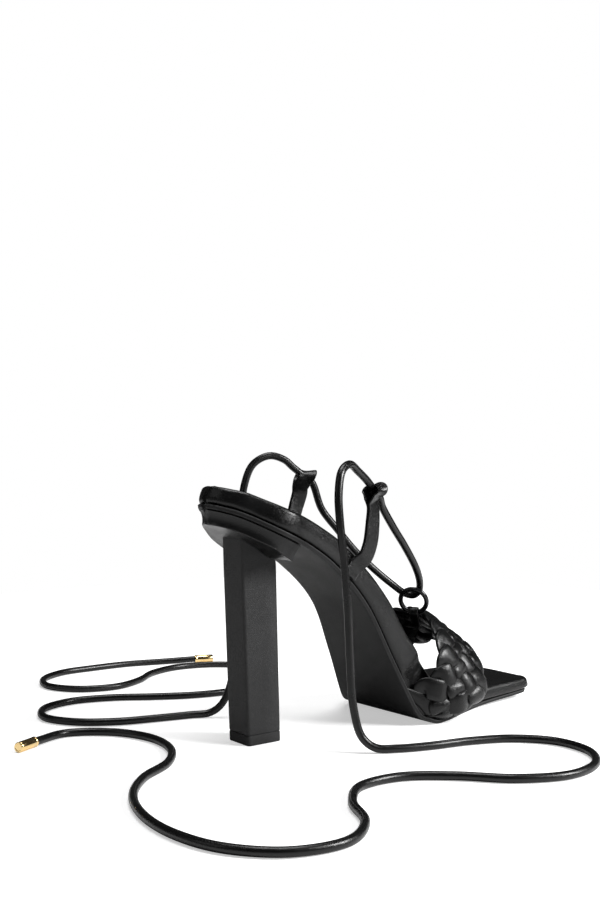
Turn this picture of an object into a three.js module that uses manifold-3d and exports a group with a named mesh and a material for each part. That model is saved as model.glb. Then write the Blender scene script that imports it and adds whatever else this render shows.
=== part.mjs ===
// Lace up sandal with a block heel, right shoe, size 38.
// Millimetres. +X runs from the heel to the toe, +Y to the medial side, +Z up.
// The origin is the middle of the heel's bottom face, on the floor.

import * as THREE from 'three';
import { mergeVertices } from 'three/addons/utils/BufferGeometryUtils.js';
import Module from 'manifold-3d';

const wasm = await Module();
wasm.setup();

// Driving sizes

const clearance = 0.3;

const soleLength = 207.1;
const seatOverhang = 29.3;
const heelRise = 111.5;
const toeSpring = 3;
const ballWidth = 67;
const toeCorner = 5;
const treadShares = { start: 0.5905, end: 0.663, spring: 0.745 };
const seatUpright = 0.35;
const seatBlend = 60;

const outsoleThickness = 2.1;
const outsoleEdge = 0.5;
const insoleThickness = 10;
const insoleEdgeRadius = 2.6;
const insoleCrown = 0.5;
const insoleGroove = 1.5;
const strapRecess = 2.4;
const recessStart = 0.534;
const recessFull = 0.549;
const recessFade = 0.014;
const toeOverhang = 1.6;
const toeOverhangFull = 0.95;

const seatThickness = 6.7;
const seatLip = { drop: 1.4, start: 25 };
const seatInsetTop = 1.2;
const seatInsetBottom = 3.8;
const seatLength = 40.4;
const seatSoften = 0.5;

const heelWidth = 16.8;
const heelBottomLength = 18.8;
const heelTopLength = 20;
const heelRake = 3.8;
const heelEdgeRadius = 1.4;
const heelGap = 0.45;
const tipHeight = 4.9;

const strapWall = 2.6;
const strapRelief = 1.3;
const strapHeight = 52;
const strandColumns = 5;
const strandRows = 13;
const footReach = 0.2;
const stripRound = 0.7;
const stripEnd = 0.45;
const stripEdgeFall = 1.6;

const ringRadius = 6.9;
const ringWire = 2.5;
const ringSides = 10;
const ringSegments = 28;
const ringTurn = 35;
const ringLean = 22;
const loopBand = 1;
const loopWidth = 4;
const loopSegments = 14;
const loopClearance = 0.7;
const loopTail = 4.6;
const loopSlope = 52;

const tabWidth = 8;
const tabThickness = 2.2;
const tabLoopWall = 1.3;
const tabLoopRoom = 1;
const tabSlope = 37;
const tabTurn = 15;
const tabFootShare = 0.6;
const tabSoften = 0.4;

const laceDiameter = 3.8;
const laceSides = 8;
const laceMiddleSteps = 40;
const laceEndSteps = 60;
const laceShow = 1.2;
const laceStraight = 1;
const capDiameter = 5;
const capLength = 12;
const capBevel = 0.5;
const floorGap = 0.1;
const roundSides = 20;
const halvings = 40;

// Tables

// Underside of the sole from the back to the start of the tread:
// x as a share of soleLength, rise as a share of heelRise.
const archTable = [
  { x: 0, rise: 1 },
  { x: 0.0497, rise: 0.9641 },
  { x: 0.1193, rise: 0.892 },
  { x: 0.2014, rise: 0.8215 },
  { x: 0.2883, rise: 0.719 },
  { x: 0.3752, rise: 0.5471 },
  { x: 0.4524, rise: 0.2996 },
  { x: 0.52, rise: 0.0646 },
  { x: 0.5567, rise: 0.0179 },
  { x: 0.5761, rise: 0.0045 },
];

// Outline of the sole: along as a share of its developed length,
// medial and lateral half widths as shares of ballWidth.
const outlineTable = [
  { along: 0, medial: 0.023, lateral: 0.023 },
  { along: 0.0025, medial: 0.06, lateral: 0.064 },
  { along: 0.0145, medial: 0.146, lateral: 0.153 },
  { along: 0.0447, medial: 0.26, lateral: 0.272 },
  { along: 0.107, medial: 0.403, lateral: 0.429 },
  { along: 0.1798, medial: 0.379, lateral: 0.409 },
  { along: 0.2628, medial: 0.312, lateral: 0.374 },
  { along: 0.3653, medial: 0.276, lateral: 0.376 },
  { along: 0.4893, medial: 0.364, lateral: 0.383 },
  { along: 0.6048, medial: 0.457, lateral: 0.426 },
  { along: 0.66, medial: 0.53, lateral: 0.455 },
  { along: 0.6975, medial: 0.567, lateral: 0.432 },
  { along: 0.7285, medial: 0.589, lateral: 0.391 },
  { along: 0.7752, medial: 0.609, lateral: 0.328 },
  { along: 0.8335, medial: 0.612, lateral: 0.272 },
  { along: 0.8918, medial: 0.594, lateral: 0.246 },
  { along: 0.9423, medial: 0.557, lateral: 0.238 },
  { along: 0.9813, medial: 0.515, lateral: 0.227 },
];
const toeEdge = { medial: 0.495, lateral: 0.217 };

// The insole: thickness as a share of insoleThickness, and how far its edge may lean forward, in degrees.
// Its leaning edge turns upright before the bend ends, so that it doesn't fold over itself.
const insoleTable = [
  { along: 0, thickness: 0.88, lean: 90 },
  { along: 0.02, thickness: 0.92, lean: 90 },
  { along: 0.04, thickness: 1.01, lean: 90 },
  { along: 0.08, thickness: 1.05, lean: 90 },
  { along: 0.2, thickness: 1.06, lean: 90 },
  { along: 0.264, thickness: 1.1, lean: 90 },
  { along: 0.314, thickness: 1.12, lean: 90 },
  { along: 0.362, thickness: 1.19, lean: 90 },
  { along: 0.396, thickness: 1.28, lean: 90 },
  { along: 0.436, thickness: 1.33, lean: 80 },
  { along: 0.47, thickness: 1.41, lean: 70 },
  { along: 0.5, thickness: 1.54, lean: 62 },
  { along: 0.52, thickness: 1.57, lean: 56 },
  { along: 0.54, thickness: 1.61, lean: 51.6 },
  { along: 0.56, thickness: 1.67, lean: 45 },
  { along: 0.58, thickness: 1.77, lean: 38.8 },
  { along: 0.6, thickness: 1.88, lean: 32 },
  { along: 0.62, thickness: 1.92, lean: 27 },
  { along: 0.65, thickness: 1.8, lean: 14.5 },
  { along: 0.68, thickness: 1.63, lean: 0 },
  { along: 0.7, thickness: 1.25, lean: 0 },
  { along: 0.72, thickness: 1.01, lean: 0 },
  { along: 0.74, thickness: 0.86, lean: 0 },
  { along: 0.76, thickness: 0.79, lean: 0 },
  { along: 0.8, thickness: 0.73, lean: 0 },
  { along: 0.9, thickness: 0.69, lean: 0 },
  { along: 1, thickness: 0.62, lean: 0 },
];

// Where the braid leaves the sole, as shares of its developed length.
const strapFeet = { rear: 0.552, front: 0.747 };

// Edges of the braid from the lateral side over the instep to the medial side:
// x as shares of soleLength from the origin, y of ballWidth, z of strapHeight.
const strapTable = [
  { rearX: 0.425, rearY: -0.487, rearZ: 0.5, frontX: 0.567, frontY: -0.537, frontZ: 0.24 },
  { rearX: 0.446, rearY: -0.464, rearZ: 0.67, frontX: 0.597, frontY: -0.435, frontZ: 0.43 },
  { rearX: 0.472, rearY: -0.337, rearZ: 0.85, frontX: 0.63, frontY: -0.267, frontZ: 0.55 },
  { rearX: 0.514, rearY: -0.065, rearZ: 0.985, frontX: 0.652, frontY: 0, frontZ: 0.635 },
  { rearX: 0.516, rearY: 0.201, rearZ: 0.985, frontX: 0.636, frontY: 0.212, frontZ: 0.64 },
  { rearX: 0.478, rearY: 0.408, rearZ: 0.86, frontX: 0.601, frontY: 0.422, frontZ: 0.54 },
  { rearX: 0.428, rearY: 0.522, rearZ: 0.54, frontX: 0.553, frontY: 0.552, frontZ: 0.33 },
];

// Run of each tab above the sole's edge, to the middle of its loop.
const tabAlong = 0.285;
const tabRoutes = {
  lateral: [[44.5, -28.4, 86.5], [47.4, -28.9, 93], [48.8, -28.9, 101], [49.6, -28.6, 110]],
  medial: [[39.5, 24.4, 93], [41.8, 25.6, 101], [44.6, 26, 109.5], [46.4, 25.2, 117]],
};
const tabLoops = { lateral: [51.3, -28, 118.4], medial: [48.4, 23.4, 124.6] };

// Middle of the lace, from the lateral loop through the ring to the medial loop.
const laceMiddleRoute = [
  [60, -23.6, 110.4], [70, -20.5, 100], [82, -16.6, 89], [93, -12.8, 77.5],
  [100, -8.5, 68.7], [102.1, -5.3, 64.1], [101.5, -2.2, 61.8], [98.9, 1.4, 62.4],
  [93.4, 6.4, 67.6], [84.4, 11, 76], [74.4, 14.6, 86], [65.4, 17.6, 97], [57, 20.4, 108],
];
const ringCentre = [98.8, -5, 59.2];

// Free ends of the lace, from behind each loop to the floor and along it.
const floorLevel = laceDiameter / 2 + floorGap;
const capLevel = capDiameter / 2 + floorGap;
const laceEndRoutes = {
  lateral: [
    [37.4, -31.8, 128], [29.6, -35, 131.4], [21.4, -38.8, 128], [17.6, -41.2, 117.6],
    [17.4, -42.6, 104], [19.4, -43.2, 86], [20.8, -44, 64], [21.2, -45, 42], [22, -46.4, 21],
    [24.8, -49.2, 7.4], [29.6, -53, 2.6], [38, -58, floorLevel], [54, -64, floorLevel],
    [75, -69, floorLevel], [94, -78, floorLevel], [106, -94, floorLevel], [104, -114, floorLevel],
    [89, -129, floorLevel], [67, -133, floorLevel], [45, -123, floorLevel], [28, -105, floorLevel],
    [9, -92, floorLevel], [-13, -92, floorLevel], [-29, -106, floorLevel], [-40, -126, floorLevel],
    [-58, -138, floorLevel], [-80, -134, floorLevel], [-96, -117, floorLevel], [-102, -94, floorLevel],
    [-100, -69, floorLevel], [-91, -46, floorLevel], [-76, -28, floorLevel], [-57, -15, floorLevel],
    [-44, 4, floorLevel], [-41, 27, floorLevel], [-50, 48, floorLevel],
    [-69, 60, floorLevel], [-88, 52, capLevel],
  ],
  medial: [
    [37.4, 26.2, 133.4], [29.4, 28.8, 135.6], [21.6, 32.2, 131.2], [18, 34.8, 120.6], [17.8, 36.8, 106],
    [19.8, 38.8, 88], [19.2, 41, 66], [18.8, 42.8, 43], [17.6, 45, 22], [13.6, 48, 7.8],
    [8.4, 51.4, 2.8], [-1, 56, floorLevel], [-18, 60, floorLevel], [-38, 66, floorLevel],
    [-55, 78, floorLevel], [-63, 96, floorLevel], [-55, 115, floorLevel], [-36, 123, floorLevel],
    [-14, 118, floorLevel], [6, 106, floorLevel], [26, 96, floorLevel], [48, 92, floorLevel],
    [71, 96, floorLevel], [90, 108, floorLevel], [101, 127, floorLevel], [100, 150, floorLevel],
    [85, 167, floorLevel], [62, 173, floorLevel], [40, 166, floorLevel], [22, 151, floorLevel],
    [2, 143, floorLevel], [-18, 150, floorLevel], [-28, 168, floorLevel], [-22, 188, floorLevel],
    [-4, 201, floorLevel], [19, 203, floorLevel],
    [42, 202, floorLevel], [64, 196, floorLevel], [84, 188, capLevel],
  ],
};

// Solids

function radians(degrees) {
  return degrees * Math.PI / 180;
}

function vector([x, y, z]) {
  return new THREE.Vector3(x, y, z);
}

// A closed body through rings of points. The first points of each ring run up one side and the rest
// back down the other, and the two ends are closed by strips from side to side.
function loft(rings, split = Math.ceil(rings[0].length / 2)) {
  const size = rings[0].length;
  const faces = [];
  rings.slice(1).forEach((_, row) => {
    for (let k = 0; k < size; k += 1) {
      const next = (k + 1) % size;
      const [a, b] = [row * size + k, row * size + next];
      faces.push(a, b, b + size, a, b + size, a + size);
    }
  });
  const last = (rings.length - 1) * size;
  let [up, down] = [0, size - 1];
  while (up < split - 1 || down > split) {
    const upNext = (up + 1) / (split - 1);
    const downNext = (size - down) / Math.max(size - 1 - split, 1);
    if (down === split || (up < split - 1 && upNext <= downNext)) {
      faces.push(up + 1, up, down, last + up, last + up + 1, last + down);
      up += 1;
    } else {
      faces.push(up, down, down - 1, last + up, last + down - 1, last + down);
      down -= 1;
    }
  }
  const corners = rings.flat().flatMap((p) => [p.x, p.y, p.z]);
  const geometry = new THREE.BufferGeometry();
  geometry.setAttribute('position', new THREE.Float32BufferAttribute(corners, 3));
  geometry.setIndex(faces);
  return faceOutward(geometry);
}

function faceOutward(geometry) {
  const index = geometry.index.array;
  const p = [0, 1, 2].map(() => new THREE.Vector3());
  let volume = 0;
  for (let i = 0; i < index.length; i += 3) {
    p.forEach((v, k) => v.fromBufferAttribute(geometry.attributes.position, index[i + k]));
    volume += p[0].dot(p[1].clone().cross(p[2]));
  }
  if (volume < 0) {
    for (let i = 0; i < index.length; i += 3) {
      [index[i], index[i + 1]] = [index[i + 1], index[i]];
    }
  }
  geometry.computeVertexNormals();
  return geometry;
}

function toSolid(geometry) {
  const bare = geometry.clone();
  bare.deleteAttribute('normal');
  bare.deleteAttribute('uv');
  const merged = mergeVertices(bare, 1e-4);
  const solid = new wasm.Mesh({
    numProp: 3,
    vertProperties: new Float32Array(merged.attributes.position.array),
    triVerts: new Uint32Array(merged.index.array),
  });
  return new wasm.Manifold(solid);
}

function toGeometry(solid) {
  const mesh = solid.getMesh();
  const geometry = new THREE.BufferGeometry();
  geometry.setAttribute('position', new THREE.Float32BufferAttribute(mesh.vertProperties, 3));
  geometry.setIndex([...mesh.triVerts]);
  geometry.computeVertexNormals();
  return geometry;
}

// A round bar along a curve.
function bar(curve, diameter, steps, sides) {
  const section = new THREE.Shape();
  for (let k = 0; k < sides; k += 1) {
    const angle = (k + 0.5) * 2 * Math.PI / sides;
    const [x, y] = [Math.cos(angle) * diameter / 2, Math.sin(angle) * diameter / 2];
    if (k === 0) {
      section.moveTo(x, y);
    } else {
      section.lineTo(x, y);
    }
  }
  section.closePath();
  return new THREE.ExtrudeGeometry(section, { steps, bevelEnabled: false, extrudePath: curve });
}

// Sole

const archPoints = archTable.map((row) => new THREE.Vector2(
  row.x * soleLength - seatOverhang,
  row.rise * heelRise,
));
const [treadStart, treadEnd, springStart] = ['start', 'end', 'spring'].map((place) => (
  treadShares[place] * soleLength - seatOverhang
));
const treadPoint = new THREE.Vector2(treadStart, 0);
const toePoint = new THREE.Vector2(soleLength - seatOverhang, toeSpring);
const springPoint = new THREE.Vector2(springStart, 0);
const soleProfile = new THREE.CurvePath();
soleProfile.add(new THREE.SplineCurve([...archPoints, treadPoint]));
soleProfile.add(new THREE.LineCurve(treadPoint, new THREE.Vector2(treadEnd, 0)));
soleProfile.add(new THREE.QuadraticBezierCurve(new THREE.Vector2(treadEnd, 0), springPoint, toePoint));
const soleArc = soleProfile.getLength();
const insoleLevel = outsoleThickness + clearance;

// A point of the sole: along and across it, and above its underside.
function solePoint(along, across, above, lean = ownLean(along)) {
  const share = THREE.MathUtils.clamp(along / soleArc, 0, 1);
  const slope = soleProfile.getTangent(share);
  const foot = soleProfile.getPoint(share).addScaledVector(slope, along - share * soleArc);
  const upright = seatUpright * (1 - THREE.MathUtils.smoothstep(along, 0, seatBlend));
  const forward = Math.sin(lean) * (1 - upright) * above;
  return new THREE.Vector3(foot.x + forward, across, foot.y + Math.cos(lean) * above);
}

function ownLean(along) {
  const slope = soleProfile.getTangent(THREE.MathUtils.clamp(along / soleArc, 0, 1));
  return Math.atan2(-slope.y, slope.x);
}

// A value of the insole's table at a place along the sole.
function insoleValue(along, column) {
  const share = THREE.MathUtils.clamp(along / soleArc, 0, 1);
  const next = Math.max(1, insoleTable.findIndex((row) => row.along >= share));
  const [low, high] = [insoleTable[next - 1], insoleTable[next]];
  return THREE.MathUtils.mapLinear(share, low.along, high.along, low[column], high[column]);
}

// A point of the insole: it stands on the outsole and leans no further forward than its table allows.
function insolePoint(along, across, above) {
  const lean = Math.min(ownLean(along), radians(insoleValue(along, 'lean')));
  const base = solePoint(along, across, insoleLevel);
  const top = solePoint(along, across, above, lean);
  return base.add(top).sub(solePoint(along, across, insoleLevel, lean));
}

function sidePath(side) {
  const points = outlineTable.map((row) => new THREE.Vector2(row.along * soleArc, row[side] * ballWidth));
  const corner = new THREE.Vector2(soleArc, toeEdge[side] * ballWidth);
  const path = new THREE.CurvePath();
  const end = new THREE.Vector2(soleArc, corner.y - toeCorner);
  path.add(new THREE.SplineCurve(points));
  path.add(new THREE.QuadraticBezierCurve(points.at(-1), corner, end));
  return path;
}

const sides = {
  medial: { path: sidePath('medial'), sign: 1 },
  lateral: { path: sidePath('lateral'), sign: -1 },
};

// The share of a side's length where it reaches a place along the sole.
function shareAt(side, along) {
  let [low, high] = [0, 1];
  for (let turn = 0; turn < halvings; turn += 1) {
    const middle = (low + high) / 2;
    if (sides[side].path.getPoint(middle).x < along) {
      low = middle;
    } else {
      high = middle;
    }
  }
  return low;
}

function halfWidth(side, along) {
  return sides[side].path.getPoint(shareAt(side, along)).y;
}

function edgePoint(side, share, { inset, above }, place) {
  const { path, sign } = sides[side];
  const edge = path.getPoint(share);
  const slope = path.getTangent(share);
  return place(edge.x + slope.y * inset, sign * (edge.y - slope.x * inset), above);
}

// A plate that follows the sole. Its rim is a list of insets and heights from the bottom up,
// worked out for each place along the sole, and crown points run across its top.
function solePlate(stations, rim, crown, place = solePoint) {
  const rings = stations.map((station) => {
    const [rising, falling] = ['medial', 'lateral'].map((side) => (
      rim(station[side], side).map((row) => edgePoint(side, station[side], row, place))
    ));
    const across = crown(station, rising.at(-1), falling.at(-1));
    return [...rising, ...across, ...falling.reverse()];
  });
  return loft(rings);
}

function noCrown() {
  return [];
}

// Stations are closer round the seat, up to backShare, and at the toe's corners, from cornerShare.
const backShare = 0.13;
const cornerShare = 0.972;

function stationShares(backCount, middleCount, cornerCount) {
  const back = Array.from({ length: backCount }, (_, i) => backShare * i / backCount);
  const middle = Array.from(
    { length: middleCount },
    (_, i) => backShare + (cornerShare - backShare) * i / middleCount,
  );
  const corner = Array.from(
    { length: cornerCount + 1 },
    (_, i) => cornerShare + (1 - cornerShare) * i / cornerCount,
  );
  return [...back, ...middle, ...corner].map((share) => ({ medial: share, lateral: share }));
}

const soleStations = stationShares(11, 38, 4);
const roundAngles = [0, 30, 60, 90];
const crownShares = [0.18, 0.5, 0.82];

// The outsole, or the room it takes with a margin round it.
function outsoleGeometry(margin = 0) {
  const rim = () => [
    { inset: outsoleEdge - margin, above: -margin },
    { inset: -margin, above: outsoleEdge - margin },
    { inset: -margin, above: outsoleThickness - outsoleEdge + margin },
    { inset: outsoleEdge - margin, above: outsoleThickness + margin },
  ];
  return solePlate(soleStations, rim, noCrown);
}

// The insole's edge is set in beside the braid's feet and stands out over the outsole round the toe.
function insoleInset(side, share) {
  const along = sides[side].path.getPoint(share).x / soleArc;
  const start = THREE.MathUtils.smoothstep(along, recessStart, recessFull);
  const end = THREE.MathUtils.smoothstep(along, strapFeet.front, strapFeet.front + recessFade);
  const overhang = toeOverhang * THREE.MathUtils.smoothstep(along, strapFeet.front, toeOverhangFull);
  return strapRecess * (start - end) - overhang;
}

// The insole, or the room it takes with a margin round it.
function insoleGeometry(margin = 0) {
  const bottom = insoleLevel - margin;
  const rim = (share, side) => {
    const along = sides[side].path.getPoint(share).x;
    const edge = insoleInset(side, share) - margin;
    const top = insoleLevel + insoleThickness * insoleValue(along, 'thickness') + margin;
    const round = roundAngles.map((angle) => ({
      inset: edge + insoleEdgeRadius * (1 - Math.cos(radians(angle))),
      above: top - insoleEdgeRadius * (1 - Math.sin(radians(angle))),
    }));
    return [
      { inset: edge + insoleGroove, above: bottom },
      { inset: edge, above: bottom + insoleGroove },
      ...round,
    ];
  };
  const crown = (station, left, right) => crownShares.map((share) => {
    const lift = insoleCrown * Math.sin(Math.PI * share);
    return left.clone().lerp(right, share).add(new THREE.Vector3(0, 0, lift));
  });
  return solePlate(soleStations, rim, crown, insolePoint);
}

const soleRoom = toSolid(insoleGeometry(clearance)).add(toSolid(outsoleGeometry(clearance)));

// Heel

// Height of the seat's underside over the sole's, lower towards its front lip.
function seatBottom(along) {
  const lip = THREE.MathUtils.smoothstep(along, seatLip.start, seatLength);
  return -clearance - seatThickness - seatLip.drop * lip;
}

function seatGeometry() {
  const steps = 16;
  const ends = { medial: shareAt('medial', seatLength), lateral: shareAt('lateral', seatLength) };
  const stations = Array.from({ length: steps + 1 }, (_, i) => ({
    medial: ends.medial * i / steps,
    lateral: ends.lateral * i / steps,
  }));
  const rim = (share, side) => {
    const bottom = seatBottom(sides[side].path.getPoint(share).x);
    return [
      { inset: seatInsetBottom + seatSoften, above: bottom },
      { inset: seatInsetBottom, above: bottom + seatSoften },
      { inset: seatInsetTop, above: -clearance },
    ];
  };
  return solePlate(stations, rim, noCrown);
}

// Height of the seat's underside at a place x.
function seatUndersideAt(x) {
  let [low, high] = [0, seatBlend];
  for (let turn = 0; turn < halvings; turn += 1) {
    const middle = (low + high) / 2;
    if (solePoint(middle, 0, seatBottom(middle)).x < x) {
      low = middle;
    } else {
      high = middle;
    }
  }
  return solePoint(low, 0, seatBottom(low)).z;
}

const heelTop = seatUndersideAt(0);

// The heel's outline at a height: it leans back and grows a little towards the seat.
function heelSection(level) {
  const share = level / heelTop;
  const length = THREE.MathUtils.lerp(heelBottomLength, heelTopLength, share);
  const back = -heelBottomLength / 2 - heelRake * share;
  const front = back + length;
  const wide = heelWidth / 2;
  const bend = heelEdgeRadius * (1 - Math.SQRT1_2);
  return [
    { x: back, y: wide - heelEdgeRadius },
    { x: back + bend, y: wide - bend },
    { x: back + heelEdgeRadius, y: wide },
    { x: back + length / 2, y: wide },
    { x: front - heelEdgeRadius, y: wide },
    { x: front - bend, y: wide - bend },
    { x: front, y: wide - heelEdgeRadius },
  ];
}

function heelRing(level, height) {
  const section = heelSection(level);
  const point = (sign) => (p) => new THREE.Vector3(p.x, sign * p.y, height(p.x));
  return [...section.map(point(1)), ...section.map(point(-1)).reverse()];
}

function heelBlockGeometry() {
  const bottom = tipHeight + clearance;
  return loft([
    heelRing(bottom, () => bottom),
    heelRing(heelTop, (x) => seatUndersideAt(x) - heelGap),
  ]);
}

function heelTipGeometry() {
  return loft([heelRing(0, () => 0), heelRing(tipHeight, () => tipHeight)]);
}

// Braid

// The braid's foot beside the insole, at a share of the way from its rear edge to its front one.
function strapFoot(side, across) {
  const along = THREE.MathUtils.lerp(strapFeet.rear, strapFeet.front, across) * soleArc;
  const out = halfWidth(side, along) - strapRecess + clearance + strapWall / 2;
  return solePoint(along, sides[side].sign * out, insoleLevel);
}

function strapEdge(edge, across) {
  const points = strapTable.map((row) => new THREE.Vector3(
    row[`${edge}X`] * soleLength,
    row[`${edge}Y`] * ballWidth,
    row[`${edge}Z`] * strapHeight,
  ));
  return new THREE.CatmullRomCurve3([strapFoot('lateral', across), ...points, strapFoot('medial', across)]);
}

const strapEdges = { rear: strapEdge('rear', 0), front: strapEdge('front', 1) };

// The middle of the strap's wall: around from the lateral foot to the medial one, across from rear to front.
// Near each foot it is drawn on to the sole's edge.
function strapMiddle(around, across) {
  const point = strapEdges.rear.getPoint(around).lerp(strapEdges.front.getPoint(around), across);
  for (const side of ['lateral', 'medial']) {
    const reach = side === 'lateral' ? around : 1 - around;
    const pull = 1 - THREE.MathUtils.smoothstep(reach, 0, footReach);
    if (pull > 0) {
      const straight = strapFoot(side, 0).lerp(strapFoot(side, 1), across);
      point.addScaledVector(strapFoot(side, across).sub(straight), pull);
    }
  }
  return point;
}

function strapPoint(around, across, offset) {
  const step = 0.004;
  const a = THREE.MathUtils.clamp(around, step, 1 - step);
  const c = THREE.MathUtils.clamp(across, step, 1 - step);
  const runAround = strapMiddle(a + step, c).sub(strapMiddle(a - step, c));
  const runAcross = strapMiddle(a, c + step).sub(strapMiddle(a, c - step));
  const normal = runAcross.cross(runAround).normalize();
  return strapMiddle(around, across).addScaledVector(normal, offset);
}

// Height of the strips of the braid, 0 in the furrows and 1 on the middle of a strip that lies on top.
function stripHeight(around, across) {
  const along = around * strandRows * 2;
  const column = across * strandColumns;
  const rising = (along + column) / 2;
  const falling = (along - column) / 2;
  const isRising = (Math.floor(rising) + Math.floor(falling)) % 2 !== 0;
  const acrossStrip = isRising ? falling : rising;
  const alongStrip = isRising ? rising : falling;
  const bulge = (value) => Math.sin(Math.PI * (value - Math.floor(value)));
  const edge = Math.min(1, Math.min(across, 1 - across) * strandColumns * stripEdgeFall);
  return bulge(acrossStrip) ** stripRound * (stripEnd + (1 - stripEnd) * bulge(alongStrip)) * edge;
}

function braidGeometry() {
  const facets = 4;
  const steps = strandRows * facets;
  const outerSteps = strandColumns * facets;
  const innerSteps = 5;
  const rings = Array.from({ length: steps + 1 }, (_, i) => {
    const around = i / steps;
    const outer = Array.from({ length: outerSteps + 1 }, (__, k) => {
      const across = k / outerSteps;
      return strapPoint(around, across, strapWall / 2 + strapRelief * stripHeight(around, across));
    });
    const inner = Array.from({ length: innerSteps + 1 }, (__, k) => (
      strapPoint(around, 1 - k / innerSteps, -strapWall / 2)
    ));
    return [...outer, ...inner];
  });
  return toGeometry(toSolid(loft(rings, outerSteps + 1)).subtract(soleRoom));
}

// Ring

const ringNormal = new THREE.Vector3(
  Math.cos(radians(ringTurn)) * Math.cos(radians(ringLean)),
  Math.sin(radians(ringTurn)) * Math.cos(radians(ringLean)),
  Math.sin(radians(ringLean)),
);
const ringLevel = new THREE.Vector3(Math.sin(radians(ringTurn)), -Math.cos(radians(ringTurn)), 0);
const ringUp = ringLevel.clone().cross(ringNormal).normalize();

// The loop lies round the ring's lowest point, and its tail runs forward under the braid.
function ringLoopGeometry() {
  const hole = ringWire / 2 + loopClearance;
  const outer = hole + loopBand;
  const shape = new THREE.Shape();
  const leave = Math.asin((hole - loopBand) / outer);
  shape.absarc(0, 0, outer, -leave, -Math.PI / 2, false);
  shape.lineTo(loopTail, -outer);
  shape.lineTo(loopTail, -outer + 2 * loopBand);
  shape.closePath();
  const opening = new THREE.Path();
  opening.absarc(0, 0, hole, 0, 2 * Math.PI, true);
  shape.holes.push(opening);
  const geometry = new THREE.ExtrudeGeometry(shape, {
    depth: loopWidth,
    bevelEnabled: false,
    curveSegments: loopSegments,
  });
  return geometry.translate(0, 0, -loopWidth / 2);
}

function placeRingLoop(mesh) {
  const forward = new THREE.Vector3(Math.cos(radians(ringTurn)), Math.sin(radians(ringTurn)), 0);
  const run = forward.multiplyScalar(Math.cos(radians(loopSlope))).setZ(-Math.sin(radians(loopSlope)));
  const up = ringLevel.clone().negate().cross(run).normalize();
  mesh.quaternion.setFromRotationMatrix(new THREE.Matrix4().makeBasis(run, up, run.clone().cross(up)));
  mesh.position.copy(vector(ringCentre)).addScaledVector(ringUp, -ringRadius);
}

// Tabs

// Direction of the lace through a tab's loop: forward, inward and down.
function loopAxis(side) {
  const level = Math.cos(radians(tabSlope));
  return new THREE.Vector3(
    level * Math.cos(radians(tabTurn)),
    -sides[side].sign * level * Math.sin(radians(tabTurn)),
    -Math.sin(radians(tabSlope)),
  );
}

const tabHole = laceDiameter / 2 + tabLoopRoom;

function tabCurve(side) {
  const along = tabAlong * soleArc;
  const across = sides[side].sign * (halfWidth(side, along) + clearance + tabThickness / 2);
  const heights = [insoleLevel, insoleLevel + insoleThickness * tabFootShare];
  const foot = heights.map((above) => solePoint(along, across, above));
  const axis = loopAxis(side);
  const up = new THREE.Vector3(0, 0, 1).addScaledVector(axis, -axis.z).normalize();
  const top = vector(tabLoops[side]).addScaledVector(up, -(tabHole + tabLoopWall / 2));
  return new THREE.CatmullRomCurve3([...foot, ...tabRoutes[side].map(vector), top]);
}

function tabShaft(side) {
  const curve = tabCurve(side);
  const steps = 16;
  const soften = tabSoften;
  const [wide, thick] = [tabWidth / 2, tabThickness / 2];
  const section = [
    [-wide, -thick + soften], [-wide, thick - soften], [-wide + soften, thick], [wide - soften, thick],
    [wide, thick - soften], [wide, -thick + soften], [wide - soften, -thick], [-wide + soften, -thick],
  ];
  const rings = Array.from({ length: steps + 1 }, (_, i) => {
    const share = i / steps;
    const point = curve.getPointAt(share);
    const run = curve.getTangentAt(share);
    const outward = new THREE.Vector3(0, sides[side].sign, 0).addScaledVector(run, -sides[side].sign * run.y);
    outward.normalize();
    const width = run.clone().cross(outward);
    return section.map(([w, t]) => point.clone().addScaledVector(width, w).addScaledVector(outward, t));
  });
  return loft(rings);
}

function tabGeometry(side) {
  const axis = loopAxis(side);
  const turn = new THREE.Quaternion().setFromUnitVectors(new THREE.Vector3(0, 1, 0), axis);
  const centre = vector(tabLoops[side]);
  const drum = (radius, length) => {
    const geometry = new THREE.CylinderGeometry(radius, radius, length, roundSides);
    geometry.applyQuaternion(turn).translate(centre.x, centre.y, centre.z);
    return toSolid(geometry);
  };
  const loop = drum(tabHole + tabLoopWall, tabWidth);
  const shaft = toSolid(tabShaft(side)).subtract(soleRoom);
  return toGeometry(shaft.add(loop).subtract(drum(tabHole, tabWidth * 2)));
}

// Lace

function loopPoint(side, distance) {
  return vector(tabLoops[side]).addScaledVector(loopAxis(side), distance);
}

const loopHalf = tabWidth / 2;
const laceBehind = loopHalf + laceShow;

function laceMiddleGeometry() {
  const curve = new THREE.CatmullRomCurve3([
    loopPoint('lateral', -laceBehind),
    loopPoint('lateral', 0),
    loopPoint('lateral', loopHalf + laceStraight),
    ...laceMiddleRoute.map(vector),
    loopPoint('medial', loopHalf + laceStraight),
    loopPoint('medial', 0),
    loopPoint('medial', -laceBehind),
  ]);
  return bar(curve, laceDiameter, laceMiddleSteps, laceSides);
}

function laceEndCurve(side) {
  const start = loopPoint(side, -laceBehind - clearance);
  const straight = loopPoint(side, -laceBehind - laceDiameter);
  return new THREE.CatmullRomCurve3([start, straight, ...laceEndRoutes[side].map(vector)]);
}

function capGeometry() {
  const [radius, bevel] = [capDiameter / 2, capBevel];
  return new THREE.LatheGeometry([
    new THREE.Vector2(0, 0),
    new THREE.Vector2(radius - bevel, 0),
    new THREE.Vector2(radius, bevel),
    new THREE.Vector2(radius, capLength - bevel),
    new THREE.Vector2(radius - bevel, capLength),
    new THREE.Vector2(0, capLength),
  ], roundSides);
}

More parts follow.
